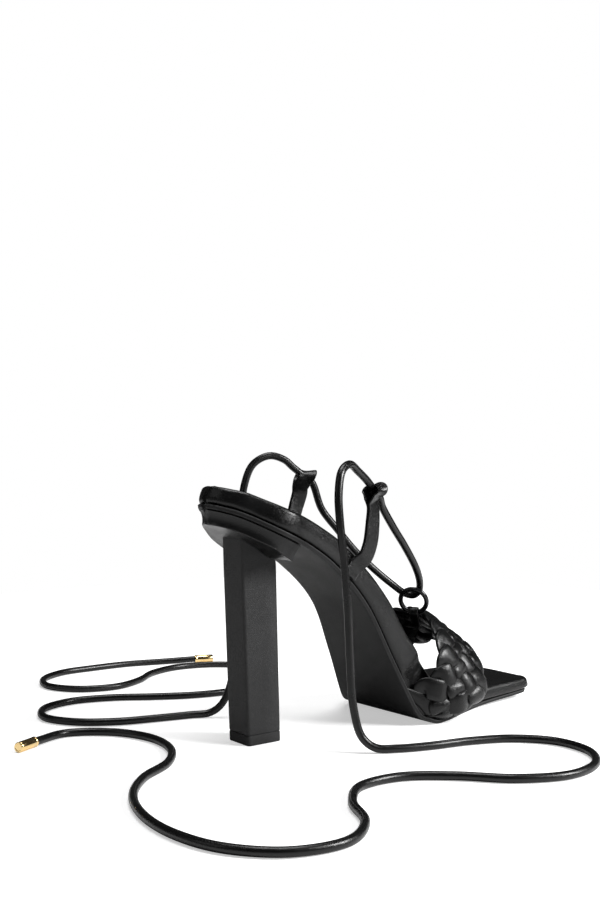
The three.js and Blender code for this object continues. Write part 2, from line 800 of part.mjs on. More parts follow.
function placeCap(mesh, side) {
  const curve = laceEndCurve(side);
  const run = curve.getTangent(1).setZ(0).normalize();
  mesh.quaternion.setFromUnitVectors(new THREE.Vector3(0, 1, 0), run);
  mesh.position.copy(curve.getPoint(1)).addScaledVector(run, clearance);
}

// Materials and assembly

function finish(name, color, roughness, metalness) {
  return new THREE.MeshStandardMaterial({ name, color, roughness, metalness });
}

const finishes = {
  wrap: finish('smooth_leather', 0x232324, 0.42, 0),
  sole: finish('sole_sheet', 0x2a2a2a, 0.6, 0),
  tip: finish('heel_rubber', 0x1d1d1d, 0.7, 0),
  cord: finish('lace_leather', 0x1b1b1b, 0.35, 0),
  ring: finish('black_metal', 0x101010, 0.25, 0.9),
  cap: finish('gold_metal', 0xe0bd6d, 0.2, 1),
};

const sandal = new THREE.Group();

function addPiece(name, geometry, material) {
  const mesh = new THREE.Mesh(geometry, material);
  mesh.name = name;
  sandal.add(mesh);
  return mesh;
}

addPiece('outsole', outsoleGeometry(), finishes.sole);
addPiece('insole', insoleGeometry(), finishes.wrap);
addPiece('heel_seat', seatGeometry(), finishes.wrap);
addPiece('heel_block', heelBlockGeometry(), finishes.wrap);
addPiece('heel_tip', heelTipGeometry(), finishes.tip);
addPiece('vamp_braid', braidGeometry(), finishes.wrap);

const ringGeometry = new THREE.TorusGeometry(ringRadius, ringWire / 2, ringSides, ringSegments);
const ring = addPiece('vamp_ring', ringGeometry, finishes.ring);
ring.quaternion.setFromUnitVectors(new THREE.Vector3(0, 0, 1), ringNormal);
ring.position.copy(vector(ringCentre));
placeRingLoop(addPiece('ring_loop', ringLoopGeometry(), finishes.wrap));

addPiece('lace_middle', laceMiddleGeometry(), finishes.cord);
for (const side of ['lateral', 'medial']) {
  addPiece(`tab_${side}`, tabGeometry(side), finishes.wrap);
  addPiece(`lace_end_${side}`, bar(laceEndCurve(side), laceDiameter, laceEndSteps, laceSides), finishes.cord);
  placeCap(addPiece(`lace_cap_${side}`, capGeometry(), finishes.cap), side);
}

export default sandal;
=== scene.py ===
import bmesh
import bpy
import math
import numpy as np
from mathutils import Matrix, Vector


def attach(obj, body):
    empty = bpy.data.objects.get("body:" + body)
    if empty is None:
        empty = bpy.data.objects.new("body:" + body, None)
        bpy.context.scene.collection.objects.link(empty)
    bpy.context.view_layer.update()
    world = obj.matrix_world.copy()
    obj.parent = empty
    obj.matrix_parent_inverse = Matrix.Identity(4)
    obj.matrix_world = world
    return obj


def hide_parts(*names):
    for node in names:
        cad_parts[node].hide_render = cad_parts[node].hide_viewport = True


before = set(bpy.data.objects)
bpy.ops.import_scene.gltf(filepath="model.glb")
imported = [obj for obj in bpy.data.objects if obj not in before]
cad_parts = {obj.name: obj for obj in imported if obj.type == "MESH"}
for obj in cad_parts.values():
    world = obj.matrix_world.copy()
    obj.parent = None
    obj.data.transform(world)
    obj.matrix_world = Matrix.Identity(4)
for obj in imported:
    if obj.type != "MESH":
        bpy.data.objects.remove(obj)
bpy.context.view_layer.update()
print("frame loaded")

# Right lace up sandal. Metres, +X from heel to toe, +Y medial, +Z up,
# origin at the middle of the heel's bottom face.

scene = bpy.context.scene
scene.view_settings.view_transform = "Standard"


# The gap between pieces that meet
clearance = 0.0003


# Camera, from behind on the lateral side

cameraLook = {
    "place": (-0.3025, -0.4280, 0.1331),
    "turn": -37.6,      # degrees round Z
    "lens": 44.0,
    "shiftY": 0.0118,
}

cameraData = bpy.data.cameras.new("camera")
cameraData.lens = cameraLook["lens"]
cameraData.shift_y = cameraLook["shiftY"]
cameraData.clip_start = 0.01
camera = bpy.data.objects.new("camera", cameraData)
camera.location = cameraLook["place"]
camera.rotation_euler = (math.radians(90), 0, math.radians(cameraLook["turn"]))
scene.collection.objects.link(camera)
scene.camera = camera


# Curves

def unit(v):
    return v / max(np.linalg.norm(v), 1e-12)


def smoothStep(value, low, high):
    t = np.clip((value - low) / (high - low), 0, 1)
    return t * t * (3 - 2 * t)


# A point between b and c, with the slopes u and v at them
def hermite(b, c, u, v, t):
    return (2 * b - 2 * c + u + v) * t ** 3 + (-3 * b + 3 * c - 2 * u - v) * t ** 2 + u * t + b


# An even-knot spline through flat points
def splineThrough(points, perSpan=40):
    p = np.array(points, float)
    out = []
    for i in range(len(p) - 1):
        a, b, c, d = p[max(i - 1, 0)], p[i], p[i + 1], p[min(i + 2, len(p) - 1)]
        out += [hermite(b, c, (c - a) / 2, (d - b) / 2, k / perSpan) for k in range(perSpan)]
    out.append(p[-1])
    return np.array(out)


# A centripetal spline through points in space, the same one that the source uses for its routes
def routeThrough(points, perSpan=24):
    p = [np.array(q, float) for q in points]
    p = [2 * p[0] - p[1]] + p + [2 * p[-1] - p[-2]]
    out = []
    for i in range(1, len(p) - 2):
        a, b, c, d = p[i - 1:i + 3]
        ta, tb, tc = (math.sqrt(np.linalg.norm(q)) for q in (b - a, c - b, d - c))
        u = ((b - a) / ta - (c - a) / (ta + tb) + (c - b) / tb) * tb
        v = ((c - b) / tb - (d - b) / (tb + tc) + (d - c) / tc) * tb
        out += [hermite(b, c, u, v, k / perSpan) for k in range(perSpan)]
    out.append(p[-2])
    return np.array(out)


def bendThrough(a, b, c, steps=40):
    t = np.linspace(0, 1, steps + 1)[:, None]
    return (1 - t) ** 2 * np.array(a) + 2 * t * (1 - t) * np.array(b) + t ** 2 * np.array(c)


# Rows of a flat path at the places given
def readPath(at, places, path):
    return np.stack([np.interp(at, places, path[:, k]) for k in (0, 1)], axis=-1)


def lengthsAlong(points):
    return np.concatenate([[0], np.cumsum(np.linalg.norm(np.diff(points, axis=0), axis=1))])


# Points of a line at even steps, or at given shares of its length
def evenly(points, count=None, shares=None):
    lengths = lengthsAlong(points)
    at = (np.linspace(0, 1, count) if shares is None else np.asarray(shares)) * lengths[-1]
    return np.stack([np.interp(at, lengths, points[:, k]) for k in range(points.shape[1])], axis=1)


def unitRows(rows):
    return rows / np.maximum(np.linalg.norm(rows, axis=-1, keepdims=True), 1e-12)


def tangentsOf(points):
    return unitRows(np.gradient(points, axis=0))


# Meshes

def addMesh(name, points, faces, sharpAngle=40, uvs=None):
    mesh = bpy.data.meshes.new(name)
    mesh.from_pydata([tuple(p) for p in points], [], faces)
    if uvs is not None:
        layer = mesh.uv_layers.new(name="UVMap")
        for loop in mesh.loops:
            layer.data[loop.index].uv = uvs[loop.vertex_index]
    mesh.validate()
    mesh.update()
    for face in mesh.polygons:
        face.use_smooth = True
    mesh.set_sharp_from_angle(angle=math.radians(sharpAngle))
    piece = bpy.data.objects.new(name, mesh)
    scene.collection.objects.link(piece)
    return piece


# A closed body through rings of points, with its ends filled
def loftRings(name, rings, sharpAngle=40, closedRun=False):
    rings = np.array(rings)
    rows, size, _ = rings.shape
    faces = []
    for row in range(rows if closedRun else rows - 1):
        following = (row + 1) % rows
        for k in range(size):
            near = (k + 1) % size
            here, there = row * size, following * size
            faces.append((here + k, here + near, there + near, there + k))
    if not closedRun:
        faces.append(tuple(range(size))[::-1])
        faces.append(tuple((rows - 1) * size + k for k in range(size)))
    points = rings.reshape(-1, 3)
    run = np.concatenate([[0], np.cumsum(np.linalg.norm(np.diff(rings.mean(axis=1), axis=0), axis=1))])
    uvs = [(k / size, run[row]) for row in range(rows) for k in range(size)]
    piece = addMesh(name, points, faces, sharpAngle, uvs)
    turnOutward(piece)
    return piece


def turnOutward(piece):
    work = bmesh.new()
    work.from_mesh(piece.data)
    bmesh.ops.recalc_face_normals(work, faces=work.faces)
    work.to_mesh(piece.data)
    work.free()


# A round cord along points, with frames that don't twist; its first frame starts from a slanting direction
slanting = (0.13, 0.21, 0.97)


def cordRings(points, diameter, sides, swell):
    runs = tangentsOf(points)
    across = unit(np.cross(runs[0], slanting))
    angles = np.arange(sides) * 2 * math.pi / sides
    rings = []
    for i, (point, run) in enumerate(zip(points, runs)):
        across = unit(across - run * np.dot(across, run))
        up = np.cross(run, across)
        radius = diameter / 2 * swell[i]
        rings.append([point + radius * (math.cos(a) * across + math.sin(a) * up) for a in angles])
    return rings


# A flat band: centres, unit vectors across its width and out of its face, half width and half thickness
def bandRings(centres, wideways, outward, wide, thick, section):
    rings = []
    for i, point in enumerate(centres):
        w = wide[i] if np.ndim(wide) else wide
        t = thick[i] if np.ndim(thick) else thick
        rings.append([point + x * w * wideways[i] + y * t * outward[i] for x, y in section])
    return rings


# Outline of a band's section, rounded at the sides and softly domed
def bandSection(sides, square):
    section = []
    for k in range(sides):
        a = 2 * math.pi * k / sides
        c, s = math.cos(a), math.sin(a)
        section.append((math.copysign(abs(c) ** square, c), math.copysign(abs(s) ** square, s)))
    return section


# Shader groups

def newGroup(name, inputs, outputs):
    tree = bpy.data.node_groups.new(name, "ShaderNodeTree")
    for label, kind, value in inputs:
        socket = tree.interface.new_socket(name=label, in_out="INPUT", socket_type=kind)
        if value is not None:
            socket.default_value = value
    for label, kind in outputs:
        tree.interface.new_socket(name=label, in_out="OUTPUT", socket_type=kind)
    return tree, tree.nodes.new("NodeGroupInput"), tree.nodes.new("NodeGroupOutput")


def mathNode(tree, operation, *values, clamp=False):
    node = tree.nodes.new("ShaderNodeMath")
    node.operation = operation
    node.use_clamp = clamp
    for socket, value in zip(node.inputs, values):
        if isinstance(value, (int, float)):
            socket.default_value = value
        else:
            tree.links.new(value, socket)
    return node.outputs[0]


def noiseNode(tree, vector, scale, detail, roughness=0.55):
    node = tree.nodes.new("ShaderNodeTexNoise")
    node.inputs["Detail"].default_value = detail
    node.inputs["Roughness"].default_value = roughness
    tree.links.new(vector, node.inputs["Vector"])
    if isinstance(scale, (int, float)):
        node.inputs["Scale"].default_value = scale
    else:
        tree.links.new(scale, node.inputs["Scale"])
    return node.outputs["Fac"]


def rangeNode(tree, value, span):
    node = tree.nodes.new("ShaderNodeMapRange")
    node.inputs["From Min"].default_value, node.inputs["From Max"].default_value = span
    tree.links.new(value, node.inputs["Value"])
    return node


def mixNode(tree, factor, first, second):
    node = tree.nodes.new("ShaderNodeMix")
    node.data_type = "RGBA"
    tree.links.new(factor, node.inputs["Factor"])
    tree.links.new(first, node.inputs[6])
    tree.links.new(second, node.inputs[7])
    return node.outputs[2]


grainForm = {
    "warpScale": 420.0,
    "warpDetail": 3.0,
    "warp": 0.0012,
    "sharpness": 3.2,
    "stretch": (60.0, 260.0, 90.0),
    "lineDetail": 6.0,
    "lineRoughness": 0.62,
}


# Fine pebbled grain of coated leather, with faint stretch lines
def buildGrainGroup():
    tree, given, result = newGroup(
        "leatherGrain",
        [("Vector", "NodeSocketVector", None), ("Cells per metre", "NodeSocketFloat", 1500.0),
         ("Lines", "NodeSocketFloat", 0.3)],
        [("Height", "NodeSocketFloat"), ("Furrows", "NodeSocketFloat")],
    )
    warp = noiseNode(tree, given.outputs["Vector"], grainForm["warpScale"], grainForm["warpDetail"])
    shift = mathNode(tree, "MULTIPLY", warp, grainForm["warp"])
    moved = tree.nodes.new("ShaderNodeVectorMath")
    moved.operation = "ADD"
    tree.links.new(given.outputs["Vector"], moved.inputs[0])
    tree.links.new(shift, moved.inputs[1])
    cells = tree.nodes.new("ShaderNodeTexVoronoi")
    cells.feature = "DISTANCE_TO_EDGE"
    tree.links.new(moved.outputs[0], cells.inputs["Vector"])
    tree.links.new(given.outputs["Cells per metre"], cells.inputs["Scale"])
    pebble = mathNode(tree, "MULTIPLY", cells.outputs["Distance"], grainForm["sharpness"], clamp=True)
    stretched = tree.nodes.new("ShaderNodeMapping")
    stretched.inputs["Scale"].default_value = grainForm["stretch"]
    tree.links.new(given.outputs["Vector"], stretched.inputs["Vector"])
    detail, roughness = grainForm["lineDetail"], grainForm["lineRoughness"]
    lines = noiseNode(tree, stretched.outputs["Vector"], 1.0, detail, roughness)
    weighted = mathNode(tree, "MULTIPLY", lines, given.outputs["Lines"])
    height = mathNode(tree, "ADD", pebble, weighted)
    tree.links.new(height, result.inputs["Height"])
    tree.links.new(mathNode(tree, "SUBTRACT", 1.0, pebble), result.inputs["Furrows"])
    return tree


mottleForm = {
    "patchDetail": 5.0,
    "patchRoughness": 0.6,
    "fineScale": 900.0,
    "fineDetail": 2.0,
    "patchShare": 0.7,
    "toneRange": (0.32, 0.68),
    "glossRange": (0.3, 0.7),
}


# A slow and a fine change of tone over a surface, and of its gloss
def buildMottleGroup():
    tree, given, result = newGroup(
        "surfaceMottle",
        [("Vector", "NodeSocketVector", None), ("Patch scale", "NodeSocketFloat", 45.0),
         ("Dark", "NodeSocketColor", (0.01, 0.01, 0.01, 1)),
         ("Light", "NodeSocketColor", (0.02, 0.02, 0.02, 1)),
         ("Smooth", "NodeSocketFloat", 0.35), ("Rough", "NodeSocketFloat", 0.5)],
        [("Color", "NodeSocketColor"), ("Roughness", "NodeSocketFloat")],
    )
    patches = noiseNode(
        tree, given.outputs["Vector"], given.outputs["Patch scale"],
        mottleForm["patchDetail"], mottleForm["patchRoughness"],
    )
    fine = noiseNode(tree, given.outputs["Vector"], mottleForm["fineScale"], mottleForm["fineDetail"])
    slowPart = mathNode(tree, "MULTIPLY", patches, mottleForm["patchShare"])
    finePart = mathNode(tree, "MULTIPLY", fine, 1 - mottleForm["patchShare"])
    spread = rangeNode(tree, mathNode(tree, "ADD", slowPart, finePart), mottleForm["toneRange"])
    tone = mixNode(tree, spread.outputs["Result"], given.outputs["Dark"], given.outputs["Light"])
    gloss = rangeNode(tree, patches, mottleForm["glossRange"])
    tree.links.new(given.outputs["Smooth"], gloss.inputs["To Min"])
    tree.links.new(given.outputs["Rough"], gloss.inputs["To Max"])
    tree.links.new(tone, result.inputs["Color"])
    tree.links.new(gloss.outputs["Result"], result.inputs["Roughness"])
    return tree


# pointiness span over which outward edges get the painted highlight
edgeHighlightRange = (0.52, 0.62)


# Painted highlight: lighter colour along outward edges, where they would catch the light
def buildEdgeHighlightGroup():
    tree, given, result = newGroup(
        "paintedEdgeHighlight",
        [("Color", "NodeSocketColor", (0.02, 0.02, 0.02, 1)),
         ("Edge highlight", "NodeSocketColor", (0.06, 0.06, 0.06, 1)),
         ("Amount", "NodeSocketFloat", 0.5)],
        [("Color", "NodeSocketColor")],
    )
    pointed = tree.nodes.new("ShaderNodeNewGeometry").outputs["Pointiness"]
    edge = rangeNode(tree, pointed, edgeHighlightRange)
    strength = mathNode(tree, "MULTIPLY", edge.outputs["Result"], given.outputs["Amount"], clamp=True)
    tone = mixNode(tree, strength, given.outputs["Color"], given.outputs["Edge highlight"])
    tree.links.new(tone, result.inputs["Color"])
    return tree


grainGroup = buildGrainGroup()
mottleGroup = buildMottleGroup()
edgeHighlightGroup = buildEdgeHighlightGroup()


def placeGroup(tree, group, values):
    node = tree.nodes.new("ShaderNodeGroup")
    node.node_tree = group
    for label, value in values.items():
        if isinstance(value, bpy.types.NodeSocket):
            tree.links.new(value, node.inputs[label])
        else:
            node.inputs[label].default_value = value
    return node


# the third and fourth keys set the colour and strength of the painted highlight along outward edges
finishKeys = (
    "dark", "light", "edgeHighlightTone", "edgeHighlightAmount", "smooth", "rough",
    "cells", "lines", "depth", "specular", "coat", "coatRoughness",
)

# one row for each leather or rubber, in the order of finishKeys
finishRows = {
    "smoothLeather": (0.0014, 0.0034, 0.014, 0.5, 0.24, 0.36, 1700.0, 0.35, 0.00006, 0.24, 0.22, 0.2),
    "heelLeather": (0.017, 0.027, 0.03, 0.4, 0.42, 0.52, 1500.0, 0.5, 0.00009, 0.22, 0.04, 0.34),
    "braidLeather": (0.0012, 0.003, 0.014, 0.5, 0.25, 0.36, 1400.0, 0.8, 0.00007, 0.24, 0.16, 0.22),
    "laceLeather": (0.0014, 0.0032, 0.008, 0.3, 0.24, 0.34, 1900.0, 0.6, 0.00004, 0.24, 0.25, 0.2),
    "soleSheet": (0.0085, 0.0135, 0.07, 0.8, 0.46, 0.58, 1100.0, 0.9, 0.00008, 0.22, 0.0, 0.4),
    "heelRubber": (0.014, 0.022, 0.03, 0.6, 0.5, 0.62, 2600.0, 0.2, 0.00006, 0.22, 0.0, 0.4),
}
finishBump = 0.8
metalBump = 0.5
faintBlue = 1.02


def grey(value):
    return (value, value, value * faintBlue, 1)


def newMaterial(name):
    material = bpy.data.materials.new(name)
    material.use_nodes = True
    return material, material.node_tree, material.node_tree.nodes["Principled BSDF"]


# Colour, gloss and small relief of a finish; gives the bump node
def joinFinish(tree, shader, colour, gloss, height, depth, strength):
    bump = tree.nodes.new("ShaderNodeBump")
    bump.inputs["Distance"].default_value = depth
    bump.inputs["Strength"].default_value = strength
    tree.links.new(height, bump.inputs["Height"])
    tree.links.new(colour, shader.inputs["Base Color"])
    tree.links.new(gloss, shader.inputs["Roughness"])
    tree.links.new(bump.outputs["Normal"], shader.inputs["Normal"])
    return bump


def leatherFinish(name, ridge=None):
    values = dict(zip(finishKeys, finishRows[name]))
    material, tree, shader = newMaterial(name)
    place = tree.nodes.new("ShaderNodeTexCoord").outputs["Object"]
    mottle = placeGroup(tree, mottleGroup, {
        "Vector": place, "Dark": grey(values["dark"]), "Light": grey(values["light"]),
        "Smooth": values["smooth"], "Rough": values["rough"],
    })
    # outward edges are lightened here with a painted highlight
    highlighted = placeGroup(tree, edgeHighlightGroup, {
        "Color": mottle.outputs["Color"], "Edge highlight": grey(values["edgeHighlightTone"]), "Amount": values["edgeHighlightAmount"],
    })
    grain = placeGroup(tree, grainGroup, {
        "Vector": place, "Cells per metre": values["cells"], "Lines": values["lines"],
    })
    bump = joinFinish(
        tree, shader, highlighted.outputs["Color"], mottle.outputs["Roughness"],
        grain.outputs["Height"], values["depth"], finishBump,
    )
    shader.inputs["Coat Weight"].default_value = values["coat"]
    shader.inputs["Coat Roughness"].default_value = values["coatRoughness"]
    shader.inputs["Specular IOR Level"].default_value = values["specular"]
    if ridge:
        addRidges(tree, shader, bump, ridge)
    return material


# A seam that runs along a cord, at a place round its section
def addRidges(tree, shader, bump, ridge):
    uv = tree.nodes.new("ShaderNodeTexCoord").outputs["UV"]
    split = tree.nodes.new("ShaderNodeSeparateXYZ")
    tree.links.new(uv, split.inputs[0])
    offset = mathNode(tree, "SUBTRACT", split.outputs["X"], ridge["at"])
    distance = mathNode(tree, "ABSOLUTE", offset)
    groove = mathNode(tree, "SUBTRACT", 1.0, mathNode(tree, "DIVIDE", distance, ridge["width"], clamp=True))
    second = tree.nodes.new("ShaderNodeBump")
    second.invert = True
    second.inputs["Distance"].default_value = ridge["depth"]
    second.inputs["Strength"].default_value = 1.0
    tree.links.new(groove, second.inputs["Height"])
    tree.links.new(bump.outputs["Normal"], second.inputs["Normal"])
    tree.links.new(second.outputs["Normal"], shader.inputs["Normal"])


def metalFinish(name, values):
    material, tree, shader = newMaterial(name)
    place = tree.nodes.new("ShaderNodeTexCoord").outputs["Object"]
    mottle = placeGroup(tree, mottleGroup, {
        "Vector": place, "Patch scale": values["patches"], "Dark": values["dark"], "Light": values["light"],
        "Smooth": values["smooth"], "Rough": values["rough"],
    })
    turned = noiseNode(tree, place, values["marks"], 2.0)
    joinFinish(
        tree, shader, mottle.outputs["Color"], mottle.outputs["Roughness"],
        turned, values["depth"], metalBump,
    )
    shader.inputs["Metallic"].default_value = values["metallic"]
    return material


smoothLeather = leatherFinish("smoothLeather")
heelLeather = leatherFinish("heelLeather")
braidLeather = leatherFinish("braidLeather")
laceLeather = leatherFinish("laceLeather", ridge={"at": 0.5, "width": 0.03, "depth": 0.0003})
soleSheet = leatherFinish("soleSheet")
heelRubber = leatherFinish("heelRubber")
blackMetal = metalFinish("blackMetal", {
    "dark": (0.006, 0.006, 0.007, 1), "light": (0.014, 0.014, 0.015, 1),
    "smooth": 0.14, "rough": 0.24, "depth": 0.00001, "metallic": 0.35,
    "patches": 160.0, "marks": 2600.0,
})
goldMetal = metalFinish("goldMetal", {
    "dark": (0.78, 0.55, 0.24, 1), "light": (0.92, 0.70, 0.36, 1),
    "smooth": 0.12, "rough": 0.22, "depth": 0.00001, "metallic": 1.0,
    "patches": 160.0, "marks": 2600.0,
})
print("finishes made")


def finishPiece(piece, material, slotName, *nodes):
    piece.data.materials.clear()
    piece.data.materials.append(material)
    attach(piece, "root")
    if nodes:
        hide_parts(*nodes)
    return piece


# Tabs' loops and the lace through them

tab = {
    "width": 0.0080,
    "layer": 0.0011,
    "slope": 37,        # degrees that the lace falls through a loop
    "turn": 15,
    "loops": {"lateral": (0.0513, -0.028, 0.1184), "medial": (0.0484, 0.0234, 0.1246)},
    "sign": {"lateral": -1, "medial": 1},
}


def loopAxis(side):
    level = math.cos(math.radians(tab["slope"]))
    return np.array((
        level * math.cos(math.radians(tab["turn"])),
        -tab["sign"][side] * level * math.sin(math.radians(tab["turn"])),
        -math.sin(math.radians(tab["slope"])),
    ))


def loopPoint(side, distance):
    return np.array(tab["loops"][side]) + distance * loopAxis(side)


lace = {
    "diameter": 0.0038,
    "show": 0.0012,
    "straight": 0.001,
    "floorGap": 0.0001,
    "capDiameter": 0.005,
    "capLength": 0.012,
    "endLengths": {"lateral": 0.758, "medial": 0.769},
    "sides": 20,
    "endSteps": 420,
    "middleSteps": 220,
    "swell": 0.014,
    "swellRun": 9,      # points from one uneven place to the next
    "capSides": 48,
}
laceBehind = tab["width"] / 2 + lace["show"]
floorLevel = lace["diameter"] / 2 + lace["floorGap"]
capLevel = lace["capDiameter"] / 2 + lace["floorGap"]

laceMiddleRoute = [
    (0.060, -0.0236, 0.1104), (0.070, -0.0205, 0.100), (0.082, -0.0166, 0.089), (0.093, -0.0128, 0.0775),
    (0.100, -0.0085, 0.0687), (0.1021, -0.0053, 0.0641), (0.1015, -0.0022, 0.0618), (0.0989, 0.0014, 0.0624),
    (0.0934, 0.0064, 0.0676), (0.0844, 0.011, 0.076), (0.0744, 0.0146, 0.086), (0.0654, 0.0176, 0.097),
    (0.057, 0.0204, 0.108),
]


def onFloor(points):
    return [(x, y, floorLevel) for x, y in points]


laceEndRoutes = {
    "lateral": [
        (0.0374, -0.0318, 0.128), (0.0296, -0.035, 0.1314), (0.0214, -0.0388, 0.128),
        (0.0176, -0.0412, 0.1176), (0.0174, -0.0426, 0.104), (0.0194, -0.0432, 0.086),
        (0.0208, -0.044, 0.064), (0.0212, -0.045, 0.042), (0.022, -0.0464, 0.021),
        (0.0248, -0.0492, 0.0074), (0.0296, -0.053, 0.0026),
    ] + onFloor([
        (0.038, -0.058), (0.054, -0.064), (0.075, -0.069), (0.094, -0.078), (0.106, -0.094),
        (0.104, -0.114), (0.089, -0.129), (0.067, -0.133), (0.045, -0.123), (0.028, -0.105),
        (0.009, -0.092), (-0.013, -0.092), (-0.029, -0.106), (-0.040, -0.126), (-0.058, -0.138),
        (-0.080, -0.134), (-0.096, -0.117), (-0.102, -0.094), (-0.100, -0.069), (-0.091, -0.046),
        (-0.076, -0.028), (-0.057, -0.015), (-0.044, 0.004), (-0.041, 0.027), (-0.050, 0.048),
        (-0.069, 0.060),
    ]) + [(-0.088, 0.052, capLevel)],
    "medial": [
        (0.0374, 0.0262, 0.1334), (0.0294, 0.0288, 0.1356), (0.0216, 0.0322, 0.1312),
        (0.018, 0.0348, 0.1206), (0.0178, 0.0368, 0.106), (0.0198, 0.0388, 0.088),
        (0.0192, 0.041, 0.066), (0.0188, 0.0428, 0.043), (0.0176, 0.045, 0.022),
        (0.0136, 0.048, 0.0078), (0.0084, 0.0514, 0.0028),
    ] + onFloor([
        (-0.001, 0.056), (-0.018, 0.060), (-0.038, 0.066), (-0.055, 0.078), (-0.063, 0.096),
        (-0.055, 0.115), (-0.036, 0.123), (-0.014, 0.118), (0.006, 0.106), (0.026, 0.096),
        (0.048, 0.092), (0.071, 0.096), (0.090, 0.108), (0.101, 0.127), (0.100, 0.150), (0.085, 0.167),
        (0.062, 0.173), (0.040, 0.166), (0.022, 0.151), (0.002, 0.143), (-0.018, 0.150),
        (-0.028, 0.168), (-0.022, 0.188), (-0.004, 0.201), (0.019, 0.203), (0.042, 0.202),
        (0.064, 0.196),
    ]) + [(0.084, 0.188, capLevel)],
}


# Small unevenness of a stuffed cord
def cordSwell(count, seed):
    random = np.random.default_rng(seed)
    coarse = random.uniform(-1, 1, count // lace["swellRun"] + 3)
    at = np.arange(count) / lace["swellRun"]
    return 1 + lace["swell"] * np.interp(at, np.arange(len(coarse)), coarse)


def makeLaceEnd(side):
    start = loopPoint(side, -laceBehind - clearance)
    straight = loopPoint(side, -laceBehind - lace["diameter"])
    route = routeThrough([start, straight] + laceEndRoutes[side])
    points = evenly(route, lace["endSteps"])
    rings = cordRings(points, lace["diameter"], lace["sides"], cordSwell(len(points), 3))
    end = loftRings(f"laceEnd_{side}", rings, 60)
    finishPiece(end, laceLeather, "lace_leather", f"lace_end_{side}")
    cap = makeCap(side, points[-1], points[-1] - points[-4])
    print("lace end", side, round(float(lengthsAlong(points)[-1]), 4))


# A drawn metal cap: a rolled lip where the cord goes in, a straight tube and a flat pressed end
def makeCap(side, place, run):
    run = unit(np.array((run[0], run[1], 0.0)))
    radius, length = lace["capDiameter"] / 2, lace["capLength"]
    profile = [
        (0.0, 0.0012), (0.0016, 0.0011), (0.00185, 0.0003), (0.0021, 0.0), (radius - 0.00012, 0.00018),
        (radius, 0.0005), (radius, 0.0009), (radius - 0.0002, 0.00125), (radius - 0.0002, 0.0016),
        (radius - 0.00008, 0.0019), (radius - 0.00006, length - 0.0011), (radius - 0.00018, length - 0.0008),
        (radius - 0.00002, length - 0.00055), (radius - 0.0001, length - 0.00018), (radius - 0.0004, length),
        (0.0017, length), (0.0015, length - 0.0002), (0.0, length - 0.0002),
    ]
    sideways = np.array((-run[1], run[0], 0.0))
    up = np.array((0.0, 0.0, 1.0))
    rings = []
    smallest = 1e-5
    for r, along in profile:
        centre = place + run * (clearance + along)
        ring = []
        for k in range(lace["capSides"]):
            a = 2 * math.pi * k / lace["capSides"]
            ring.append(centre + max(r, smallest) * (math.cos(a) * sideways + math.sin(a) * up))
        rings.append(ring)
    cap = loftRings(f"laceCap_{side}", rings, 30)
    return finishPiece(cap, goldMetal, "gold_metal", f"lace_cap_{side}")


def makeLaceMiddle():
    route = [loopPoint("lateral", -laceBehind), loopPoint("lateral", 0),
             loopPoint("lateral", tab["width"] / 2 + lace["straight"])]
    route += [np.array(p) for p in laceMiddleRoute]
    route += [loopPoint("medial", tab["width"] / 2 + lace["straight"]), loopPoint("medial", 0),
              loopPoint("medial", -laceBehind)]
    points = evenly(routeThrough(route), lace["middleSteps"])
    rings = cordRings(points, lace["diameter"], lace["sides"], cordSwell(len(points), 8))
    finishPiece(loftRings("laceMiddle", rings, 60), laceLeather, "lace_leather", "lace_middle")


for side in ("lateral", "medial"):
    makeLaceEnd(side)
makeLaceMiddle()
print("lace made")


# Sole forms, worked out as in the source

outsole = {"thickness": 0.0021, "edge": 0.0006, "bead": 0.0003}

last = {
    "length": 0.2071,
    "seatOverhang": 0.0293,
    "heelRise": 0.1115,
    "toeSpring": 0.003,
    "ballWidth": 0.067,
    "toeCorner": 0.005,
    "tread": (0.5905, 0.663, 0.745),
    "seatUpright": 0.35,
    "seatBlend": 0.06,
}

archRows = [
    (0.0, 1.0), (0.0497, 0.9641), (0.1193, 0.892), (0.2014, 0.8215), (0.2883, 0.719),
    (0.3752, 0.5471), (0.4524, 0.2996), (0.52, 0.0646), (0.5567, 0.0179), (0.576, 0.0045),
]

# share of the developed length, medial and lateral half widths as shares of ballWidth
outlineRows = [
    (0, 0.023, 0.023), (0.0025, 0.06, 0.064), (0.0145, 0.146, 0.153), (0.0447, 0.26, 0.272),
    (0.107, 0.403, 0.429), (0.1798, 0.379, 0.409), (0.2628, 0.312, 0.374), (0.3653, 0.276, 0.376),
    (0.4893, 0.364, 0.383), (0.6048, 0.457, 0.426), (0.66, 0.53, 0.455), (0.6975, 0.567, 0.432),
    (0.7285, 0.589, 0.391), (0.7752, 0.609, 0.328), (0.8335, 0.612, 0.272), (0.8918, 0.594, 0.246),
    (0.9423, 0.557, 0.238), (0.9813, 0.515, 0.227),
]
toeEdge = {"medial": 0.495, "lateral": 0.217}
sideSign = {"medial": 1, "lateral": -1}


# The underside of the sole in side view: arch, tread and toe spring
def buildProfile():
    arch = [(x * last["length"] - last["seatOverhang"], rise * last["heelRise"]) for x, rise in archRows]
    start, end, spring = (share * last["length"] - last["seatOverhang"] for share in last["tread"])
    toe = (last["length"] - last["seatOverhang"], last["toeSpring"])
    parts = [
        splineThrough(arch + [(start, 0.0)]),
        np.array([(start, 0.0), (end, 0.0)]),
        bendThrough((end, 0.0), (spring, 0.0), toe),
    ]
    return np.concatenate([parts[0], parts[1][1:], parts[2][1:]])


pathSteps = 1600
profile = evenly(buildProfile(), pathSteps)
profileRuns = tangentsOf(profile)
profileLengths = lengthsAlong(profile)
soleArc = profileLengths[-1]


# How far the seat's walls stand upright instead of square to the underside
def uprightAt(along):
    return last["seatUpright"] * (1 - smoothStep(along, 0, last["seatBlend"]))


